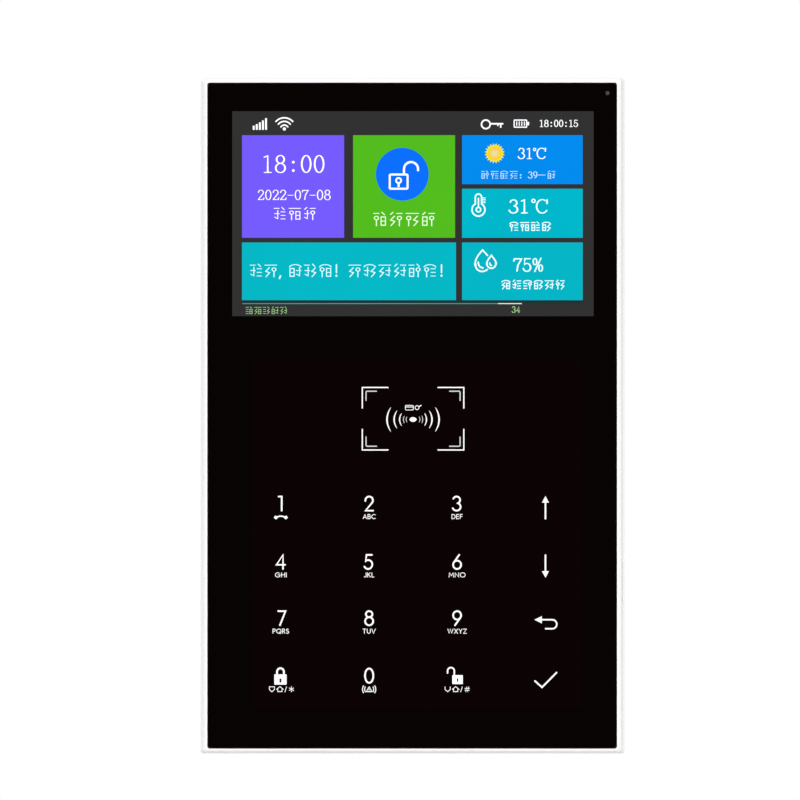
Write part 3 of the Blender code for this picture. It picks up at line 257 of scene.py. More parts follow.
class Art:
    """Thin shapes collected in one mesh, between two depths."""

    def __init__(self, y_range, centre=ART_CENTRE):
        self.bm = bmesh.new()
        self.y_range = y_range
        self.centre = centre

    def point(self, x, z, side):
        return self.bm.verts.new(((self.centre + x) * MM, self.y_range[side], z * MM))

    def strip(self, left, right, closed=False):
        """Solid band between two lines with as many points each."""
        pairs = zip(left, right, strict=True)
        rows = [[self.point(*p, side) for side in (0, 1) for p in pair] for pair in pairs]
        spans = list(zip(rows, rows[1:], strict=False))
        if closed:
            spans.append((rows[-1], rows[0]))
        for a, b in spans:
            for i, j in ((0, 1), (1, 3), (3, 2), (2, 0)):
                self.bm.faces.new((a[i], a[j], b[j], b[i]))
        if not closed:
            for row in (rows[0], rows[-1]):
                self.bm.faces.new((row[0], row[1], row[3], row[2]))

    def shape(self, outline, *holes):
        """Filled outline with holes."""
        edges = []
        for line in (outline, *holes):
            verts = [self.point(x, z, 0) for x, z in line]
            edges += [self.bm.edges.new((verts[i - 1], verts[i])) for i in range(len(verts))]
        made = bmesh.ops.triangle_fill(self.bm, edges=edges, use_beauty=True)["geom"]
        faces = [f for f in made if isinstance(f, bmesh.types.BMFace)]
        out = bmesh.ops.extrude_face_region(self.bm, geom=faces, use_keep_orig=True)["geom"]
        for v in out:
            if isinstance(v, bmesh.types.BMVert):
                v.co.y = self.y_range[1]

    def dot(self, at, radius):
        self.shape(ring(at[0], at[1], radius)[:-1])

    def stroke(self, points, width, thin=None, caps=True):
        """Line of that width with round ends. With thin, its level parts are that thin, as in serif type."""
        points = [Vector(p) for p in points]
        closed = (points[0] - points[-1]).length < 1e-6
        if closed:
            points = points[:-1]
        count = len(points)
        left, right, halves, ways = [], [], [], []
        for i, p in enumerate(points):
            before = points[i - 1] if closed or i else None
            after = points[(i + 1) % count] if closed or i < count - 1 else None
            way_in = (p - before).normalized() if before is not None else (after - p).normalized()
            way_out = (after - p).normalized() if after is not None else way_in
            across_in, across_out = (Vector((-w.y, w.x)) for w in (way_in, way_out))
            across = (across_in + across_out).normalized()
            steep = abs(across.x) ** 1.5
            half = (width if thin is None else thin + (width - thin) * steep) / 2
            reach = half / max(0.6, across.dot(across_in))  # a sharp corner's mitre ends early
            left.append(p + across * reach)
            right.append(p - across * reach)
            halves.append(half)
            ways.append((way_in, way_out))
        if caps and not closed:
            for end, way in ((0, -ways[0][1]), (-1, ways[-1][0])):
                p, half = points[end], halves[end]
                side = (left[end] - right[end]).normalized()
                for turn in (30, 55, 78):
                    out = p + way * half * math.sin(math.radians(turn))
                    reach = side * half * math.cos(math.radians(turn))
                    at = 0 if end == 0 else len(left)
                    left.insert(at, out + reach)
                    right.insert(at, out - reach)
        self.strip(left, right, closed)

    def strokes(self, lines, at, scale, width, thin=None):
        for line in lines:
            self.stroke(moved(line, at, scale), width, thin)

    def finish(self, name, material, body="panel", slot="black_lens"):
        bmesh.ops.recalc_face_normals(self.bm, faces=self.bm.faces)
        mesh = bpy.data.meshes.new(name)
        self.bm.to_mesh(mesh)
        self.bm.free()
        mesh.materials.append(material)
        obj = bpy.data.objects.new(name, mesh)
        bpy.context.scene.collection.objects.link(obj)
        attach(obj, body)
        return obj


# ---- signs: strokes on a unit height, each with its width ----

SANS = {
    "A": (0.84, [[(0, 0), (0.42, 1), (0.84, 0)], [(0.16, 0.32), (0.68, 0.32)]]),
    "B": (
        0.62,
        [
            [(0, 0), (0, 1), (0.3, 1)] + arc(0.3, 0.77, 0.24, 0.23, 90, -90) + [(0, 0.54)],
            [(0.3, 0.54)] + arc(0.34, 0.27, 0.28, 0.27, 90, -90) + [(0, 0)],
        ],
    ),
    "C": (0.82, [arc(0.5, 0.5, 0.5, 0.5, 50, 310)]),
    "D": (0.74, [[(0, 0), (0, 1), (0.24, 1)] + arc(0.24, 0.5, 0.5, 0.5, 90, -90) + [(0, 0)]]),
    "E": (0.52, [[(0.52, 1), (0, 1), (0, 0), (0.52, 0)], [(0, 0.53), (0.46, 0.53)]]),
    "F": (0.5, [[(0.5, 1), (0, 1), (0, 0)], [(0, 0.53), (0.44, 0.53)]]),
    "G": (0.98, [arc(0.5, 0.5, 0.5, 0.5, 48, 360) + [(0.56, 0.5)]]),
    "H": (0.68, [[(0, 0), (0, 1)], [(0.68, 0), (0.68, 1)], [(0, 0.53), (0.68, 0.53)]]),
    "I": (0.02, [[(0.01, 0), (0.01, 1)]]),
    "J": (0.4, [[(0.4, 1), (0.4, 0.22)] + arc(0.2, 0.22, 0.2, 0.22, 0, -150)]),
    "K": (0.6, [[(0, 0), (0, 1)], [(0.56, 1), (0, 0.46)], [(0.16, 0.6), (0.6, 0)]]),
    "L": (0.46, [[(0, 1), (0, 0), (0.46, 0)]]),
    "M": (0.92, [[(0, 0), (0.1, 1), (0.46, 0.3), (0.82, 1), (0.92, 0)]]),
    "N": (0.72, [[(0, 0), (0, 1), (0.72, 0), (0.72, 1)]]),
    "O": (1.0, [ring(0.5, 0.5, 0.5)]),
    "P": (0.54, [[(0, 0), (0, 1), (0.28, 1)] + arc(0.28, 0.74, 0.26, 0.26, 90, -90) + [(0, 0.48)]]),
    "Q": (1.0, [ring(0.5, 0.5, 0.5), [(0.6, 0.3), (0.96, -0.04)]]),
    "R": (
        0.58,
        [
            [(0, 0), (0, 1), (0.28, 1)] + arc(0.28, 0.74, 0.26, 0.26, 90, -90) + [(0, 0.48)],
            [(0.24, 0.48), (0.58, 0)],
        ],
    ),
    "S": (0.56, [arc(0.28, 0.76, 0.23, 0.24, 35, 250) + arc(0.28, 0.27, 0.28, 0.27, 75, -150)]),
    "T": (0.6, [[(0, 1), (0.6, 1)], [(0.3, 1), (0.3, 0)]]),
    "U": (0.66, [[(0, 1), (0, 0.33)] + arc(0.33, 0.33, 0.33, 0.33, 180, 360) + [(0.66, 1)]]),
    "V": (0.76, [[(0, 1), (0.38, 0), (0.76, 1)]]),
    "W": (1.12, [[(0, 1), (0.28, 0), (0.56, 1), (0.84, 0), (1.12, 1)]]),
    "X": (0.66, [[(0, 0), (0.66, 1)], [(0, 1), (0.66, 0)]]),
    "Y": (0.66, [[(0, 1), (0.33, 0.46), (0.66, 1)], [(0.33, 0.46), (0.33, 0)]]),
    "Z": (0.62, [[(0, 1), (0.62, 1), (0, 0), (0.62, 0)]]),
}

# keypad digits, in millimetres from each one's centre
DIGITS = {
    "1": [[(-0.6, 1.92), (0.25, 1.92), (0.25, -1.92)]],
    "2": [arc(0, 0.87, 1.08, 1.05, 188, -28) + [(-1.02, -1.92), (1.12, -1.92)]],
    "3": [arc(-0.15, 0.99, 1.0, 0.93, 158, -72) + arc(-0.15, -0.87, 1.16, 1.05, 66, -158)],
    "4": [[(0.62, -1.92), (0.62, 1.92), (-1.25, -0.79), (1.2, -0.79)]],
    "5": [[(0.76, 1.92), (-0.75, 1.92), (-1.02, 0.18)] + arc(-0.3, -0.7, 1.2, 1.22, 118, -152)],
    "6": [ring(0, -0.78, 1.14), [(0.6, 1.92), (-0.98, -0.2)]],
    "7": [[(-0.75, 1.92), (1.33, 1.92), (-0.25, -1.92)]],
    "8": [ring(0, 1.1, 0.93, 0.82), ring(0, -0.82, 1.15, 1.1)],
    "9": [ring(0, 0.78, 1.14), [(-0.6, -1.92), (0.98, 0.2)]],
    "0": [ring(0, 0, 1.19, 1.95)],
}

# the display's serif numerals
SERIF = {
    "0": (0.5, [ring(0.25, 0.5, 0.2, 0.48)]),
    "1": (0.5, [[(0.1, 0.88), (0.26, 0.96), (0.26, 0.03)], [(0.1, 0.02), (0.42, 0.02)]]),
    "2": (
        0.5,
        [
            [(0.06, 0.74)] + arc(0.25, 0.74, 0.19, 0.24, 165, -30) + [(0.05, 0.04)],
            [(0.05, 0.04), (0.45, 0.04), (0.48, 0.2)],
        ],
    ),
    "3": (0.5, [arc(0.23, 0.75, 0.18, 0.22, 165, -75) + arc(0.22, 0.27, 0.23, 0.26, 75, -165)]),
    "4": (0.5, [[(0.34, 0.02), (0.34, 0.97), (0.02, 0.28), (0.5, 0.28)]]),
    "5": (0.5, [[(0.44, 0.96), (0.11, 0.96), (0.08, 0.5)] + arc(0.23, 0.31, 0.22, 0.3, 128, -162)]),
    "7": (0.5, [[(0.03, 0.8), (0.05, 0.95), (0.48, 0.95), (0.27, 0.5), (0.21, 0.05)]]),
    "8": (0.5, [ring(0.25, 0.76, 0.17, 0.22), ring(0.25, 0.27, 0.21, 0.26)]),
    "9": (0.5, [ring(0.25, 0.66, 0.2, 0.31), arc(0.13, 0.66, 0.32, 0.62, 0, -78)]),
    "C": (0.85, [[(0.8, 0.7), (0.8, 0.94)], arc(0.46, 0.49, 0.4, 0.48, 58, 322)]),
    "%": (
        0.6,
        [ring(0.14, 0.74, 0.11, 0.24), ring(0.48, 0.26, 0.11, 0.24), [(0.5, 1), (0.12, 0)]],
    ),
    "-": (0.5, [[(0.04, 0.47), (0.46, 0.47)]]),
}


def made_up_sign(rng):
    """Fictional sign in a unit square, a head line over two columns of simple marks. It is from no script."""

    def ringed(x):
        return [ring(x, 0.58, 0.15, 0.13), [(x, 0.45), (x, 0.02)]]

    def bars(x):
        return [[(x - 0.17, z), (x + 0.17, z)] for z in (0.08, 0.36, 0.64)]

    def hook(x):
        return [[(x + 0.08, 0.74), (x + 0.08, 0.1), (x - 0.16, 0.22)], [(x - 0.17, 0.5), (x + 0.2, 0.5)]]

    def bolt(x):
        return [[(x + 0.14, 0.72), (x - 0.14, 0.44), (x + 0.16, 0.34), (x - 0.12, 0.02)]]

    def window(x):
        low, high = x - 0.16, x + 0.16
        pane = [(low, 0.06), (low, 0.66), (high, 0.66), (high, 0.06), (low, 0.06)]
        return [pane, [(low, 0.36), (high, 0.36)]]

    heads = (
        [[(0.04, 0.92), (0.96, 0.92)]],
        [[(0.1, 0.84), (0.28, 1.0)], [(0.54, 0.92), (0.96, 0.92)]],
        [arc(0.5, 0.72, 0.46, 0.24, 165, 15)],
        [[(0.04, 0.92), (0.44, 0.92)], [(0.66, 1.0), (0.84, 0.82)]],
    )
    left, right = rng.sample((ringed, bars, hook, bolt, window), 2)
    return [*rng.choice(heads), *left(0.25), *right(0.75)]


def write(art, text, x, z, height, stroke, thin=None, font=SANS, width=None):
    """Signs of a font from x rightwards on foot line z. Given a width, they are spread to fill it."""
    spans = [font[c][0] for c in text]
    total = sum(spans) + LETTER_GAP * (len(text) - 1)
    wide = width / total if width else height
    for c, span in zip(text, spans, strict=True):
        art.strokes(font[c][1], (x, z), (wide, height), stroke, thin)
        x += (span + LETTER_GAP) * wide


def numerals(art, text, first, foot, pitch, size, stroke, thin):
    """Display figures in equal cells, first being the first one's middle and size a figure's outer size."""
    wide, high = (size[0] - stroke) / 0.4, (size[1] - thin) / 0.96
    for i, c in enumerate(text):
        middle = first + i * pitch
        if c == ":":
            for level in (0.13, 0.6):
                art.dot((middle, foot + size[1] * level), stroke * 0.78)
        else:
            corner = (middle - 0.25 * wide, foot + thin / 2 - 0.02 * high)
            art.strokes(SERIF[c][1], corner, (wide, high), stroke, thin)


def signs(art, rng, count, x, z, size, pitch, stroke, thin):
    """Row of made-up signs, from x rightwards on foot line z."""
    for i in range(count):
        art.strokes(made_up_sign(rng), (x + i * pitch, z), (size, size), stroke, thin)


# ---- finishes ----


def linear(rgb):
    """Colour from screen values of 0 to 255."""
    shares = [c / 255 for c in rgb]
    return [s / 12.92 if s <= 0.04045 else ((s + 0.055) / 1.055) ** 2.4 for s in shares] + [1.0]


def map_range(tree, value, source, target, smooth=False):
    node = tree.nodes.new("ShaderNodeMapRange")
    if smooth:
        node.interpolation_type = "SMOOTHSTEP"
    for name, number in zip(("From Min", "From Max", "To Min", "To Max"), (*source, *target), strict=True):
        node.inputs[name].default_value = number
    tree.links.new(value, node.inputs["Value"])
    return node.outputs["Result"]


class Nodes:
    """A material's nodes, with its Principled shader."""

    def __init__(self, name):
        self.material = bpy.data.materials.new(name)
        self.material.use_nodes = True
        self.tree = self.material.node_tree
        self.shader = self.tree.nodes["Principled BSDF"]
        self.coords = self.tree.nodes.new("ShaderNodeTexCoord").outputs["Object"]

    def set(self, **values):
        for name, value in values.items():
            self.shader.inputs[name.replace("_", " ")].default_value = value

    def link(self, a, b):
        self.tree.links.new(a, b)

    def noise(self, scale, detail=3.0, stretch=(1, 1, 1)):
        mapping = self.tree.nodes.new("ShaderNodeMapping")
        mapping.inputs["Scale"].default_value = stretch
        self.link(self.coords, mapping.inputs["Vector"])
        node = self.tree.nodes.new("ShaderNodeTexNoise")
        node.inputs["Scale"].default_value = scale
        node.inputs["Detail"].default_value = detail
        self.link(mapping.outputs["Vector"], node.inputs["Vector"])
        return node.outputs["Fac"]

    def ramp(self, value, stops):
        """Colours at places along value."""
        node = self.tree.nodes.new("ShaderNodeValToRGB")
        elements = node.color_ramp.elements
        while len(elements) < len(stops):
            elements.new(0.5)
        for element, (place, colour) in zip(elements, stops, strict=True):
            element.position = place
            element.color = colour
        self.link(value, node.inputs["Fac"])
        return node.outputs["Color"]

    def tones(self, value, dark, light):
        """Two screen colours, at either end of a noise."""
        stops = zip(NOISE_SPAN, (linear(dark), linear(light)), strict=True)
        return self.ramp(value, list(stops))

    def spread(self, value, low, high):
        """Number between low and high, as a noise goes from end to end."""
        return map_range(self.tree, value, NOISE_SPAN, (low, high))

    def bump(self, height, distance):
        node = self.tree.nodes.new("ShaderNodeBump")
        node.inputs["Distance"].default_value = distance
        self.link(height, node.inputs["Height"])
        self.link(node.outputs["Normal"], self.shader.inputs["Normal"])


def finish_of(name, dark, light, scale, roughness, metallic=0.0, bump=0.0, stretch=(1, 1, 1), **more):
    """Finish that drifts between two colours and two roughnesses, with a fine relief."""
    nodes = Nodes(name)
    grain = nodes.noise(scale, stretch=stretch)
    nodes.link(nodes.tones(grain, dark, light), nodes.shader.inputs["Base Color"])
    nodes.link(nodes.spread(grain, *roughness), nodes.shader.inputs["Roughness"])
    nodes.set(Metallic=metallic, **more)
    if bump:
        nodes.bump(nodes.noise(scale * 2, stretch=stretch), bump)
    return nodes.material


def shining(nodes, glow, strength):
    nodes.link(glow, nodes.shader.inputs["Emission Color"])
    nodes.set(Emission_Strength=strength, Base_Color=(0, 0, 0, 1), Roughness=0.6, Specular_IOR_Level=0.0)
    return nodes.material


def lit(name, rgb, strength=GLOW):
    """Surface that shines with one screen colour, with the faint unevenness of a back light."""
    nodes = Nodes(name)
    full = linear(rgb)
    weak = [c * GLOW_DRIFT for c in full[:3]] + [1.0]
    glow = nodes.ramp(nodes.noise(60, detail=1.0), [(0.35, weak), (0.65, full)])
    return shining(nodes, glow, strength)


def clear_lens():
    """Clear acrylic: its black is the print behind it."""
    nodes = Nodes("clear_acrylic")
    haze = nodes.noise(40, detail=2.0)
    tint = nodes.ramp(haze, [(0.3, (0.97, 0.975, 0.98, 1)), (0.7, (0.985, 0.985, 0.985, 1))])
    nodes.link(tint, nodes.shader.inputs["Base Color"])
    nodes.set(Transmission_Weight=1.0, Roughness=0.0, IOR=LENS_IOR)
    return nodes.material


def sun_finish():
    """Pale middle that turns to yellow towards the rim."""
    nodes = Nodes("sun_glow")
    centre = nodes.tree.nodes.new("ShaderNodeCombineXYZ")
    (x, z), _, rim = SUN
    for axis, value in (("X", (ART_CENTRE + x) * MM), ("Y", sum(BADGE_Y) / 2), ("Z", z * MM)):
        centre.inputs[axis].default_value = value
    away = nodes.tree.nodes.new("ShaderNodeVectorMath")
    away.operation = "DISTANCE"
    nodes.link(nodes.coords, away.inputs[0])
    nodes.link(centre.outputs["Vector"], away.inputs[1])
    share = nodes.tree.nodes.new("ShaderNodeMath")
    share.operation = "DIVIDE"
    share.inputs[1].default_value = rim * MM
    nodes.link(away.outputs["Value"], share.inputs[0])
    stops = [(0.0, linear((240, 226, 200))), (0.32, linear((248, 214, 140)))]
    stops += [(0.56, linear((255, 214, 0))), (0.85, linear((255, 246, 40)))]
    return shining(nodes, nodes.ramp(share.outputs["Value"], stops), SUN_GLOW)


def make_finishes():
    """The finishes by name: slot names, and those of OWN_FINISHES."""
    made = {"black_lens": clear_lens()}
    for name, dark, light, scale, roughness, *more in (
        # name, two colours, grain's scale, two roughnesses, metallic, relief in metres, grain's stretch
        ("white_abs", (239, 239, 238), (244, 244, 243), 900, (0.42, 0.52), 0.0, 0.000006),
        # whiter than white_abs: painted light against the shade on the rear cover's ledge beside the front
        # frame; the coarser grain is its own
        ("white_abs_rear", (247, 247, 247), (251, 251, 251), 1400, (0.5, 0.62), 0.0, 0.00001),
        # greyer than white_abs: painted shade for the key's grazing face and the shadow in its gap
        ("white_abs_key", (222, 224, 224), (228, 230, 230), 900, (0.4, 0.5), 0.0, 0.000004),
        ("mesh_grey", (226, 210, 208), (242, 226, 224), 3000, (0.4, 0.6), 0.0, 0.00001),
        ("zinc_steel", (200, 202, 205), (212, 214, 216), 900, (0.34, 0.42), 1.0, 0.000001, (1, 1, 0.5)),
        ("dark_screen", (6, 6, 8), (9, 9, 11), 200, (0.12, 0.2)),
        ("green_board", (12, 70, 42), (18, 88, 54), 500, (0.3, 0.45), 0.0, 0.00001),
        ("black_foam", (10, 10, 11), (26, 26, 27), 1800, (0.8, 0.95), 0.0, 0.00004),
        ("clear_plastic", (214, 220, 222), (230, 234, 236), 150, (0.25, 0.4)),
        ("copper", (176, 104, 66), (208, 132, 88), 400, (0.25, 0.4), 1.0),
        ("nickel", (168, 166, 160), (200, 198, 192), 300, (0.2, 0.34), 1.0, 0.000003),
        ("amber_film", (150, 84, 18), (186, 112, 32), 240, (0.3, 0.42)),
        ("battery_foil", (150, 152, 156), (180, 182, 186), 220, (0.3, 0.5), 0.8, 0.00001),
        ("black_plastic", (16, 16, 17), (28, 28, 29), 900, (0.45, 0.6), 0.0, 0.000008),
        ("cable_black", (14, 14, 15), (24, 24, 25), 700, (0.4, 0.55)),
        ("label_paper", (230, 230, 227), (237, 237, 234), 2400, (0.55, 0.65), 0.0, 0.000001),
    ):
        made[name] = finish_of(name, dark, light, scale, roughness, *more)
    return made


def dress_cad_nodes(finishes):
    """Give every CAD node its record slot's finish and break its sharp edges a little."""
    for name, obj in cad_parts.items():
        for i, old in enumerate(obj.data.materials):
            obj.data.materials[i] = finishes[OWN_FINISHES.get(name, old.name.split(".")[0])]
        low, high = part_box(name)
        if min(high - low) < THIN:
            continue
        weld = obj.modifiers.new("weld", "WELD")
        weld.merge_threshold = WELD
        bevel = obj.modifiers.new("edges", "BEVEL")
        bevel.width = WIDER_EDGES.get(name, EDGE)
        bevel.segments = 2
        bevel.limit_method = "ANGLE"
        bevel.angle_limit = math.radians(EDGE_ANGLE)
        bevel.harden_normals = True


# ---- what shows behind the lens ----


def ink(name, dark, light, painted_glow):
    """Black ink with a faint painted glow, which stands in for the light that reaches the print through the
    lens.
    """
    glow = {"Emission_Color": linear(painted_glow), "Emission_Strength": 1.0}
    return finish_of(name, dark, light, 90, (0.5, 0.6), Specular_IOR_Level=0.0, **glow)


def inset_outline(node, inset, corner):
    """Rounded outline a little inside a node's box, in millimetres."""
    low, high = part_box(node)
    x_range = (low.x / MM + inset, high.x / MM - inset)
    z_range = (low.z / MM + inset, high.z / MM - inset)
    return rounded(x_range, z_range, corner)


def lens_print():
    """Black print on the back of the lens, open for the display and the microphone."""
    outline = inset_outline("front_lens", PRINT_INSET, PRINT_CORNER)
    art = Art(PRINT_Y, centre=0)
    art.shape(outline, rounded(*SCREEN, SCREEN_CORNER), ring(*MIC[0], MIC[1])[:-1])
    # the last colour is painted light: a faint glow in place of the light that reaches the print through the
    # lens
    art.finish("lens_print", ink("lens_ink", (5, 3, 2), (8, 5, 4), (7, 3, 2)))
    art = Art(ZONE_Y)
    art.shape(rounded(*ZONE, ZONE_CORNER))
    # the last colour is painted light: a faint glow that gives the keypad zone's ink its lit tint
    art.finish("keypad_zone", ink("zone_ink", (12, 4, 5), (15, 5, 6), (11, 2, 3)))


def key_digits(white):
    art = Art(LEGEND_Y)
    spots = {(i % 3, i // 3): str(i + 1) for i in range(9)}
    spots[(1, 3)] = "0"
    for (column, row), digit in spots.items():
        at = (KEY_X[column], KEY_Z[row])
        art.strokes(DIGITS[digit], at, DIGIT_SCALE, KEY_STROKE)
    art.finish("key_digits", white)


def key_letters(white):
    art = Art(LEGEND_Y)
    for (column, row), (text, width) in LETTERS.items():
        x = KEY_X[column] - width / 2
        z = KEY_Z[row] - LETTER_DROP
        write(art, text, x, z, LETTER_HEIGHT, LETTER_STROKE, width=width)
    art.finish("key_letters", white)


def house_and_slash(art, at, closed):
    """Shield, closed or open, with a house beside it and a slash."""
    shield = [(-3.3, 1.3), (-3.3, 0.6), (-2.62, 0.0), (-1.94, 0.6), (-1.94, 1.3)]
    roof = [(-1.42, 0.62), (-0.52, 1.34), (0.38, 0.62)]
    walls = [(-1.08, 0.72), (-1.08, 0.04), (0.04, 0.04), (0.04, 0.72)]
    for line in (shield + shield[:1] if closed else shield, roof, walls):
        art.stroke(moved(line, at), SIGN_STROKE)
    art.stroke(moved([(0.8, -0.06), (1.22, 1.32)], at), STAR_STROKE)


def handset(art, at):
    art.stroke(moved(arc(0, -1.9, 2.05, 2.05, 136, 44), at), HANDSET_STROKE, caps=False)
    for side in (-1, 1):
        foot = [(0.66, -0.15), (1.27, -0.74), (1.85, -0.3), (1.44, 0.3)]
        art.shape(moved([(x * side, z) for x, z in foot][::side], at))


def star(art, at):
    for turn in (30, 90, 150):
        way = Vector((math.cos(math.radians(turn)), math.sin(math.radians(turn)))) * 0.68
        art.stroke([Vector(at) - way, Vector(at) + way], STAR_STROKE)


def hash_sign(art, at):
    for shift in (-0.24, 0.24):
        art.stroke(moved([(shift - 0.14, -0.65), (shift + 0.14, 0.65)], at), HASH_STROKE)
        art.stroke(moved([(-0.62, shift), (0.62, shift)], at), HASH_STROKE)


def alert(art, at):
    """Triangle with a stroke in it, between waves."""
    art.stroke(moved([(0, 0), (0.76, 0), (0, 1.25), (-0.76, 0), (0, 0)], at), ALERT_STROKE)
    art.stroke(moved([(0, 0.4), (0, 0.72)], at), 0.2)
    for side in (-1, 1):
        for radius in (1.2, 1.75):
            art.stroke(moved(arc(0, 0.6, radius * side, radius, -32, 32), at), ALERT_STROKE)


def key_signs(white):
    """Generic signs in place of the words under four keys."""
    art = Art(LEGEND_Y)
    handset(art, (KEY_X[0], KEY_Z[0] - LETTER_DROP + 0.55))
    x, z = KEY_X[0] + 0.28, KEY_Z[3] - LETTER_DROP - 0.24
    house_and_slash(art, (x, z), closed=True)
    star(art, (x + 2.5, z + 0.65))
    alert(art, (KEY_X[1], KEY_Z[3] - LETTER_DROP - 0.2))
    x, z = KEY_X[2] + 0.14, KEY_Z[3] - LETTER_DROP - 0.24
    house_and_slash(art, (x, z), closed=False)
    hash_sign(art, (x + 2.5, z + 0.65))
    art.finish("key_signs", white)


def key_symbols(white):
    """Padlocks, arrows and tick."""
    art = Art(LEGEND_Y)
    x = KEY_X[0] - 0.1
    keyhole = [(x - 0.25, -70.1), (x + 0.25, -70.1), (x + 0.25, -69.05), (x - 0.25, -69.05)]
    art.shape(rounded((x - 1.61, x + 1.61), (-70.65, -67.95), 0.15), keyhole)
    art.stroke([(x - 0.9, -67.9)] + arc(x, -67.25, 0.9, 0.9, 180, 0) + [(x + 0.9, -67.9)], 0.48, caps=False)
    slot = [(11.65, -69.9), (11.98, -69.9), (11.98, -69.0), (11.65, -69.0)]
    art.shape(rounded((10.43, 13.2), (-70.5, -68.15), 0.12), slot)
    art.stroke([(9.2, -67.6)] + arc(10.08, -67.05, 0.88, 0.88, 180, 0) + [(10.96, -68.1)], 0.4)
    x = KEY_X[3] + 0.1
    for tip, base, end in ((-21.1, -22.85, -27.05), (-42.55, -40.85, -36.65)):
        art.shape([(x - 0.92, base), (x + 0.92, base), (x, tip)])
        art.stroke([(x, base), (x, end)], 0.42)
    art.shape([(32.0, -53.6), (33.95, -52.65), (33.95, -54.55)])
    bend = arc(36.7, -54.78, 1.18, 1.18, 90, -90)
    art.stroke([(33.9, -53.6)] + bend + [(34.95, -55.96)], 0.4)
    art.stroke([(32.15, -69.7), (34.0, -71.35), (37.8, -67.5)], 0.42)
    art.finish("key_symbols", white)


def reader_mark(white, dim):
    """Corner brackets and radio waves, with a card and a tag that say what to hold there."""
    bright, faint = Art(LEGEND_Y), Art(LEGEND_Y)
    (cx, cz), (hx, hz) = READER, READER_HALF
    (long, tall), (inner_long, inner_tall) = READER_ARMS, READER_INNER_ARMS
    half, bend = READER_BRACKET / 2, READER_BEND
    ix, iz = hx - READER_STEP, hz - READER_STEP
    outer = [(hx + half, hz + half)] + arc(hx, hz - tall, half, half, 0, -180) + [(hx - half, hz - half)]
    outer += [(hx - long - 0.2, hz - half), (hx - long + 0.05, hz + half)]
    inner = [(ix - inner_long, iz)] + arc(ix - bend, iz - bend, bend, bend, 90, 0)
    inner += [(ix, iz - inner_tall)]
    for sx in (-1, 1):
        for sz in (-1, 1):
            bright.shape(moved([(x * sx, z * sz) for x, z in outer], READER))
            faint.stroke(moved([(x * sx, z * sz) for x, z in inner], READER), READER_STROKE)
        for number, (middle, end, height, thick) in enumerate(READER_WAVES):
            left, right = [], []
            for i in range(2 * WAVE_STEPS + 1):
                t = i / WAVE_STEPS - 1
                x = end + (middle - end) * (1 - t * t)
                reach = thick / 2 * (1 - t * t) ** 0.6 + WAVE_TIP
                left.append((cx + (x + reach) * sx, cz - 0.2 + height * t))
                right.append((cx + (x - reach) * sx, cz - 0.2 + height * t))
            (bright if number < BRIGHT_WAVES else faint).strip(left, right)
    eye = arc(cx, cz - 0.7, 1.1, 1.12, 150, 30) + arc(cx, cz + 0.3, 1.1, 1.12, -30, -150)
    bright.shape(eye)
    card = rounded((cx - 2.0, cx + 0.05), (cz + 2.3, cz + 3.5), 0.2)
    bright.stroke(card + card[:1], SIGN_STROKE)
    bright.stroke([(cx - 2.0, cz + 3.08), (cx + 0.05, cz + 3.08)], 0.2, caps=False)
    bright.stroke(ring(cx + 1.05, cz + 2.9, 0.52), 0.18)
    bright.stroke([(cx + 1.5, cz + 3.15), (cx + 2.15, cz + 3.5)], 0.24)
    bright.finish("reader_mark", white)
    faint.finish("reader_mark_faint", dim)


def screen_tiles():
    """The display's grey field, coloured tiles, padlock badge and sun."""
    art = Art(SCREEN_Y)
    wide = [(low - SPILL, high + SPILL) for low, high in SCREEN]
    art.shape(rounded(*wide, SCREEN_CORNER))
    art.finish("screen_field", lit("screen_grey", (50, 50, 50)), slot="dark_screen")
    for name, (x_range, z_range, rgb) in TILES.items():
        art = Art(TILE_Y)
        art.shape(rounded(x_range, z_range, 0.08))
        art.finish(name, lit(name + "_glow", rgb), slot="dark_screen")
    art = Art(BADGE_Y)
    centre, radius = BADGE
    art.shape(spiked(centre, [radius] * BADGE_SIDES))
    art.finish("state_badge", lit("badge_blue", (12, 112, 255)), slot="dark_screen")
    art = Art(BADGE_Y)
    centre, inner, outer = SUN
    art.shape(spiked(centre, [inner, outer] * SUN_SPIKES))
    art.finish("sun", sun_finish(), slot="dark_screen")


def status_icons(white):
    """Signal, Wi-Fi, key, battery and clock along the display's top."""
    art = Art(ICON_Y)
    for i, height in enumerate((1.08, 1.5, 1.96, 2.48, 3.07)):
        x = -41.98 + i * 0.81
        art.shape(rounded((x, x + 0.5), (75.06, 75.06 + height), 0.1))
    art.dot((-33.68, 75.3), 0.42)
    for radius, start in ((1.07, 34), (2.04, 40), (2.99, 42.5)):
        art.stroke(arc(-33.68, 75.25, radius, radius, start, 180 - start), 0.39)
    art.stroke(ring(19.24, 76.5, 1.14), 0.4)
    art.stroke([(20.4, 76.65), (23.65, 76.65)], 0.42)
    art.stroke([(22.4, 76.5), (22.4, 76.05)], 0.34, caps=False)
    art.stroke([(23.15, 76.5), (23.15, 75.6)], 0.4, caps=False)
    case = rounded((26.68, 29.95), (75.75, 77.62), 0.1)
    art.stroke(case + case[:1], 0.3)
    for i in range(4):
        x = 27.22 + i * 0.67
        art.shape(rounded((x, x + 0.26), (76.1, 77.28), 0.08))
    art.shape(rounded((30.15, 30.6), (76.25, 77.15), 0.1))
    numerals(art, "18:00:15", 33.85, 75.8, 1.29, (1.16, 1.9), 0.26, 0.165)
    art.finish("status_icons", white, slot="dark_screen")


def clock_text(white, rng):
    """Time and date, with signs for the day."""
    art = Art(ICON_Y)
    numerals(art, "18:00", -38.1, 63.75, 3.39, (2.8, 4.7), 0.46, 0.24)
    numerals(art, "2022-07-08", -39.83, 56.62, 1.94, (1.65, 2.7), 0.29, 0.165)
    signs(art, rng, 3, -36.5, 51.4, 3.3, 3.9, 0.27, 0.19)
    art.finish("clock_text", white, slot="dark_screen")


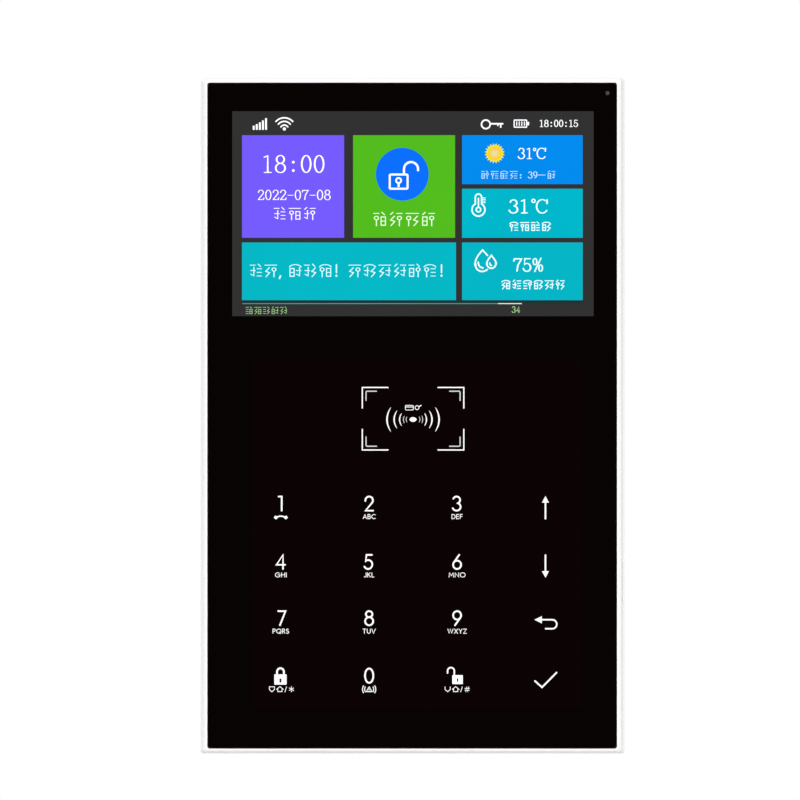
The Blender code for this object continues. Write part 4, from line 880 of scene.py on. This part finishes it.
def state_sign(white, pale, rng):
    """Open padlock on the badge, with its caption."""
    art = Art(ICON_Y)
    body = rounded((-6.0, -1.31), (59.6, 63.33), 0.3)
    art.stroke(body + body[:1], 0.52)
    art.stroke(ring(-3.67, 61.75, 0.66), 0.44)
    art.stroke([(-3.67, 61.0), (-3.67, 60.25)], 0.55)
    shackle = [(-2.27, 63.4)] + arc(-0.41, 64.75, 1.86, 1.86, 180, 0) + [(1.45, 64.2)]
    art.stroke(shackle, 0.55, caps=False)
    art.finish("state_sign", white, slot="dark_screen")
    art = Art(ICON_Y)
    signs(art, rng, 4, -10.4, 49.8, 3.6, 4.24, 0.3, 0.22)
    art.finish("state_caption", pale, slot="dark_screen")


def weather_text(white, pale, rng):
    """Reading beside the sun, with its caption."""
    art = Art(ICON_Y)
    numerals(art, "31", 28.65, 67.4, 2.0, (1.75, 2.95), 0.33, 0.2)
    art.stroke(ring(32.05, 69.9, 0.32), 0.22)
    write(art, "C", 32.55, 67.45, 2.9, 0.34, 0.2, SERIF)
    art.finish("weather_text", white, slot="dark_screen")
    art = Art(ICON_Y)
    signs(art, rng, 4, 18.0, 62.2, 2.1, 2.5, 0.19, 0.14)
    for z in (62.5, 63.2):
        art.dot((28.4, z), 0.2)
    numerals(art, "39", 30.95, 62.3, 1.28, (1.12, 1.85), 0.24, 0.14)
    art.stroke([(32.95, 63.2), (34.9, 63.2)], 0.16)
    signs(art, rng, 1, 35.4, 62.2, 2.1, 2.5, 0.19, 0.14)
    art.finish("weather_caption", pale, slot="dark_screen")


def heat_text(white, rng):
    """Thermometer with its reading."""
    art = Art(ICON_Y)
    at = (17.3, 54.1)
    tube, bulb, top = 0.83, 1.71, 3.27
    neck = math.degrees(math.acos(tube / bulb))
    outline = arc(0, 0, bulb, bulb, neck, -180 - neck) + arc(0, top, tube, tube, 180, 0)
    art.stroke(moved(outline + outline[:1], at), 0.38)
    art.stroke(moved(ring(0, 0, 0.6), at), 0.34)
    art.stroke(moved([(0, 0.75), (0, 2.95)], at), 0.36)
    for z in (57.2, 56.78, 56.36, 55.94):
        art.stroke([(18.4, z), (19.1, z)], 0.19)
    numerals(art, "31", 26.6, 53.1, 2.72, (2.35, 3.75), 0.44, 0.27)
    art.stroke(ring(31.75, 56.4, 0.42), 0.3)
    write(art, "C", 32.35, 53.15, 3.7, 0.41, 0.25, SERIF)
    signs(art, rng, 4, 25.4, 48.5, 2.4, 2.85, 0.26, 0.22)
    art.finish("heat_text", white, slot="dark_screen")


def damp_text(white, rng):
    """Two drops with their reading."""
    art = Art(ICON_Y)
    big = [(19.65, 42.1)] + bezier((18.4, 43.5), (17.3, 42.3), (16.45, 41.2), (16.45, 39.9))
    big += bezier((16.45, 39.9), (16.5, 37.7), (18.6, 37.4), (19.65, 38.4))
    art.stroke(big, 0.38)
    small = bezier((20.7, 42.1), (20.1, 41.3), (19.5, 40.7), (19.5, 39.95))
    small += arc(20.7, 39.95, 1.2, 1.25, 180, 360)
    small += bezier((21.9, 39.95), (21.9, 40.7), (21.3, 41.3), (20.7, 42.1))
    art.stroke(small, 0.38)
    art.stroke(bezier((17.25, 40.3), (17.25, 39.3), (17.8, 38.85), (18.5, 38.8)), 0.4)
    art.stroke(bezier((20.3, 40.1), (20.3, 39.7), (20.45, 39.45), (20.75, 39.4)), 0.34)
    numerals(art, "75", 27.6, 37.8, 2.5, (2.2, 3.6), 0.42, 0.25)
    write(art, "%", 31.55, 37.85, 3.5, 0.36, 0.21, SERIF, width=2.6)
    signs(art, rng, 6, 23.3, 33.2, 2.4, 2.85, 0.26, 0.22)
    art.finish("damp_text", white, slot="dark_screen")


def greeting_text(white, rng):
    """Two short made-up lines in place of a greeting."""
    art = Art(ICON_Y)
    signs(art, rng, 2, -42.8, 36.4, 3.4, 3.85, 0.27, 0.19)
    art.stroke([(-34.7, 36.7), (-34.95, 36.05)], 0.4)
    signs(art, rng, 3, -32.5, 36.4, 3.4, 3.95, 0.27, 0.19)
    signs(art, rng, 6, -16.9, 36.4, 3.4, 3.95, 0.27, 0.19)
    for x in (-20.0, 7.6):
        art.stroke([(x, 39.6), (x, 37.6)], 0.36)
        art.dot((x, 36.75), 0.28)
    art.finish("greeting_text", white, slot="dark_screen")


def bottom_line(rng):
    """Thin line under the tiles, with a notice and a number below it."""
    start, turns_white, end = LINE_X
    art = Art(BADGE_Y)
    art.stroke([(start, LINE_Z), (turns_white, LINE_Z)], LINE_STROKE, caps=False)
    art.finish("bottom_line", lit("line_teal", (84, 150, 150)), slot="dark_screen")
    art = Art(BADGE_Y)
    art.stroke([(turns_white, LINE_Z), (end, LINE_Z)], LINE_STROKE, caps=False)
    art.finish("bottom_line_end", lit("line_white", (235, 240, 240)), slot="dark_screen")
    art = Art(ICON_Y)
    signs(art, rng, 5, -43.9, 26.65, 1.95, 2.27, 0.17, 0.14)
    numerals(art, "34", 26.6, 27.0, 1.15, (1.0, 1.75), 0.26, 0.16)
    art.finish("bottom_text", lit("text_green", (158, 205, 140)), slot="dark_screen")


def tamper_spring(nickel):
    """Coil between the tamper switch and the plunger's flange."""
    low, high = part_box("tamper_spring")
    foot = low.y + SPRING_WIRE / 2
    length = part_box("tamper_plunger")[0].y - SPRING_GAP - SPRING_WIRE / 2 - foot
    middle = Vector(((low.x + high.x) / 2, 0, (low.z + high.z) / 2))
    radius = (high.x - low.x - SPRING_WIRE) / 2
    steps = SPRING_TURNS * SPRING_STEPS
    bm = bmesh.new()
    rows = []
    for i in range(steps + 1):
        turn = FULL_TURN * i / SPRING_STEPS
        outwards = Vector((math.cos(turn), 0, math.sin(turn)))
        core = middle + outwards * radius + Vector((0, foot + length * i / steps, 0))
        row = []
        for j in range(WIRE_SIDES):
            side = FULL_TURN * j / WIRE_SIDES
            reach = outwards * math.cos(side) + Vector((0, math.sin(side), 0))
            row.append(bm.verts.new(core + reach * SPRING_WIRE / 2))
        rows.append(row)
    for a, b in zip(rows, rows[1:], strict=False):
        for j in range(WIRE_SIDES):
            bm.faces.new((a[j - 1], a[j], b[j], b[j - 1]))
    bm.faces.new(rows[0])
    bm.faces.new(rows[-1])
    bmesh.ops.recalc_face_normals(bm, faces=bm.faces)
    for face in bm.faces:
        face.smooth = len(face.verts) == 4
    mesh = bpy.data.meshes.new("tamper_coil")
    bm.to_mesh(mesh)
    bm.free()
    mesh.materials.append(nickel)
    coil = bpy.data.objects.new("tamper_coil", mesh)
    bpy.context.scene.collection.objects.link(coil)
    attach(coil, "panel")
    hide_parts("tamper_spring")
    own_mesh(coil)


def label_border(ink):
    """Plain printed border on the blank label."""
    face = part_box("rating_label")[1].y
    art = Art((face + 0.00001, face + 0.00004), centre=0)
    border = inset_outline("rating_label", LABEL_INSET, LABEL_CORNER)
    art.stroke(border + border[:1], LABEL_STROKE)
    art.finish("label_border", ink, slot="label_paper")


# ---- stage ----


def area_light(name, at, size, power, mirrored):
    """Soft round lamp aimed at the panel, which only the rough surfaces see unless it is mirrored."""
    data = bpy.data.lights.new(name, "AREA")
    data.shape = "DISK"
    data.size = size
    data.energy = power
    light = bpy.data.objects.new(name, data)
    light.location = at
    light.rotation_euler = (-Vector(at)).to_track_quat("-Z", "Y").to_euler()
    light.visible_camera = False
    light.visible_glossy = light.visible_transmission = mirrored
    bpy.context.scene.collection.objects.link(light)


def make_world():
    """White behind everything, an even fill, and a dark card in front that keeps the lens black."""
    world = bpy.data.worlds.new("studio")
    bpy.context.scene.world = world
    world.use_nodes = True
    tree = world.node_tree
    tree.nodes.clear()
    path = tree.nodes.new("ShaderNodeLightPath")
    out = tree.nodes.new("ShaderNodeOutputWorld")
    shades = []
    for value in (FILL, 0.0, 1.0):
        node = tree.nodes.new("ShaderNodeBackground")
        node.inputs["Color"].default_value = (value, value, value, 1)
        shades.append(node)
    towards = tree.nodes.new("ShaderNodeVectorMath")
    towards.operation = "DOT_PRODUCT"
    towards.inputs[1].default_value = (0, -1, 0)
    tree.links.new(tree.nodes.new("ShaderNodeTexCoord").outputs["Generated"], towards.inputs[0])
    card = map_range(tree, towards.outputs["Value"], CARD_EDGE, (ROOM, CARD), smooth=True)
    tree.links.new(card, shades[1].inputs["Color"])
    mixed = shades[0].outputs["Background"]
    for rays, shade in (("Is Glossy Ray", shades[1]), ("Is Camera Ray", shades[2])):
        mix = tree.nodes.new("ShaderNodeMixShader")
        tree.links.new(path.outputs[rays], mix.inputs["Fac"])
        tree.links.new(mixed, mix.inputs[1])
        tree.links.new(shade.outputs["Background"], mix.inputs[2])
        mixed = mix.outputs["Shader"]
    tree.links.new(mixed, out.inputs["Surface"])


def make_floor():
    """Pale disc under the panel that fades out at its rim."""
    bm = bmesh.new()
    bmesh.ops.create_circle(bm, cap_ends=True, segments=96, radius=FLOOR_RADIUS)
    mesh = bpy.data.meshes.new("floor")
    bm.to_mesh(mesh)
    bm.free()
    floor = bpy.data.objects.new("floor", mesh)
    floor.location = (0, 0, FLOOR_Z)
    bpy.context.scene.collection.objects.link(floor)
    nodes = Nodes("floor_finish")
    tone = nodes.tones(nodes.noise(12), (226, 226, 226), (232, 232, 232))
    nodes.link(tone, nodes.shader.inputs["Base Color"])
    nodes.set(Roughness=0.9, Specular_IOR_Level=0.1)
    length = nodes.tree.nodes.new("ShaderNodeVectorMath")
    length.operation = "LENGTH"
    nodes.link(nodes.coords, length.inputs[0])
    fade = map_range(nodes.tree, length.outputs["Value"], FLOOR_FADE, (1.0, 0.0), smooth=True)
    nodes.link(fade, nodes.shader.inputs["Alpha"])
    floor.data.materials.append(nodes.material)
    floor.visible_glossy = floor.visible_transmission = False


def make_camera():
    data = bpy.data.cameras.new("camera")
    data.sensor_width = SENSOR
    data.lens = SENSOR * CAMERA_AWAY / VIEW_WIDTH
    data.clip_end = 50.0
    data.shift_x, data.shift_y = CAMERA_SHIFT
    camera = bpy.data.objects.new("camera", data)
    target = Vector((0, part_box("front_lens")[0].y, 0))
    turn, rise = math.radians(CAMERA_TURN), math.radians(CAMERA_RISE)
    way = Vector((math.sin(turn) * math.cos(rise), -math.cos(turn) * math.cos(rise), math.sin(rise)))
    camera.location = target + way * CAMERA_AWAY
    camera.rotation_euler = (-way).to_track_quat("-Z", "Y").to_euler()
    bpy.context.scene.collection.objects.link(camera)
    bpy.context.scene.camera = camera


def main():
    rng = random.Random(7)
    finishes = make_finishes()
    dress_cad_nodes(finishes)
    legend = lit("legend_white", (250, 250, 250), WHITE_GLOW)
    legend_dim = lit("legend_dim", (216, 216, 216))
    text = lit("text_white", (250, 252, 255), WHITE_GLOW)
    lens_print()
    key_digits(legend)
    key_letters(legend)
    key_signs(legend)
    key_symbols(legend)
    reader_mark(legend, legend_dim)
    screen_tiles()
    status_icons(text)
    clock_text(text, rng)
    state_sign(text, lit("text_pale_green", (226, 246, 214), WHITE_GLOW), rng)
    weather_text(text, lit("text_pale_blue", (192, 226, 255), WHITE_GLOW), rng)
    cool = lit("text_pale_cyan", (238, 254, 255), WHITE_GLOW)
    heat_text(cool, rng)
    damp_text(cool, rng)
    greeting_text(lit("text_soft_cyan", (216, 250, 252), WHITE_GLOW), rng)
    bottom_line(rng)
    tamper_spring(finishes["nickel"])
    label_border(finish_of("label_ink", (40, 40, 42), (56, 56, 58), 800, (0.5, 0.65)))
    for lamp in LAMPS:
        area_light(*lamp)
    make_world()
    make_floor()
    make_camera()
    bpy.context.scene.view_settings.view_transform = "Standard"


main()
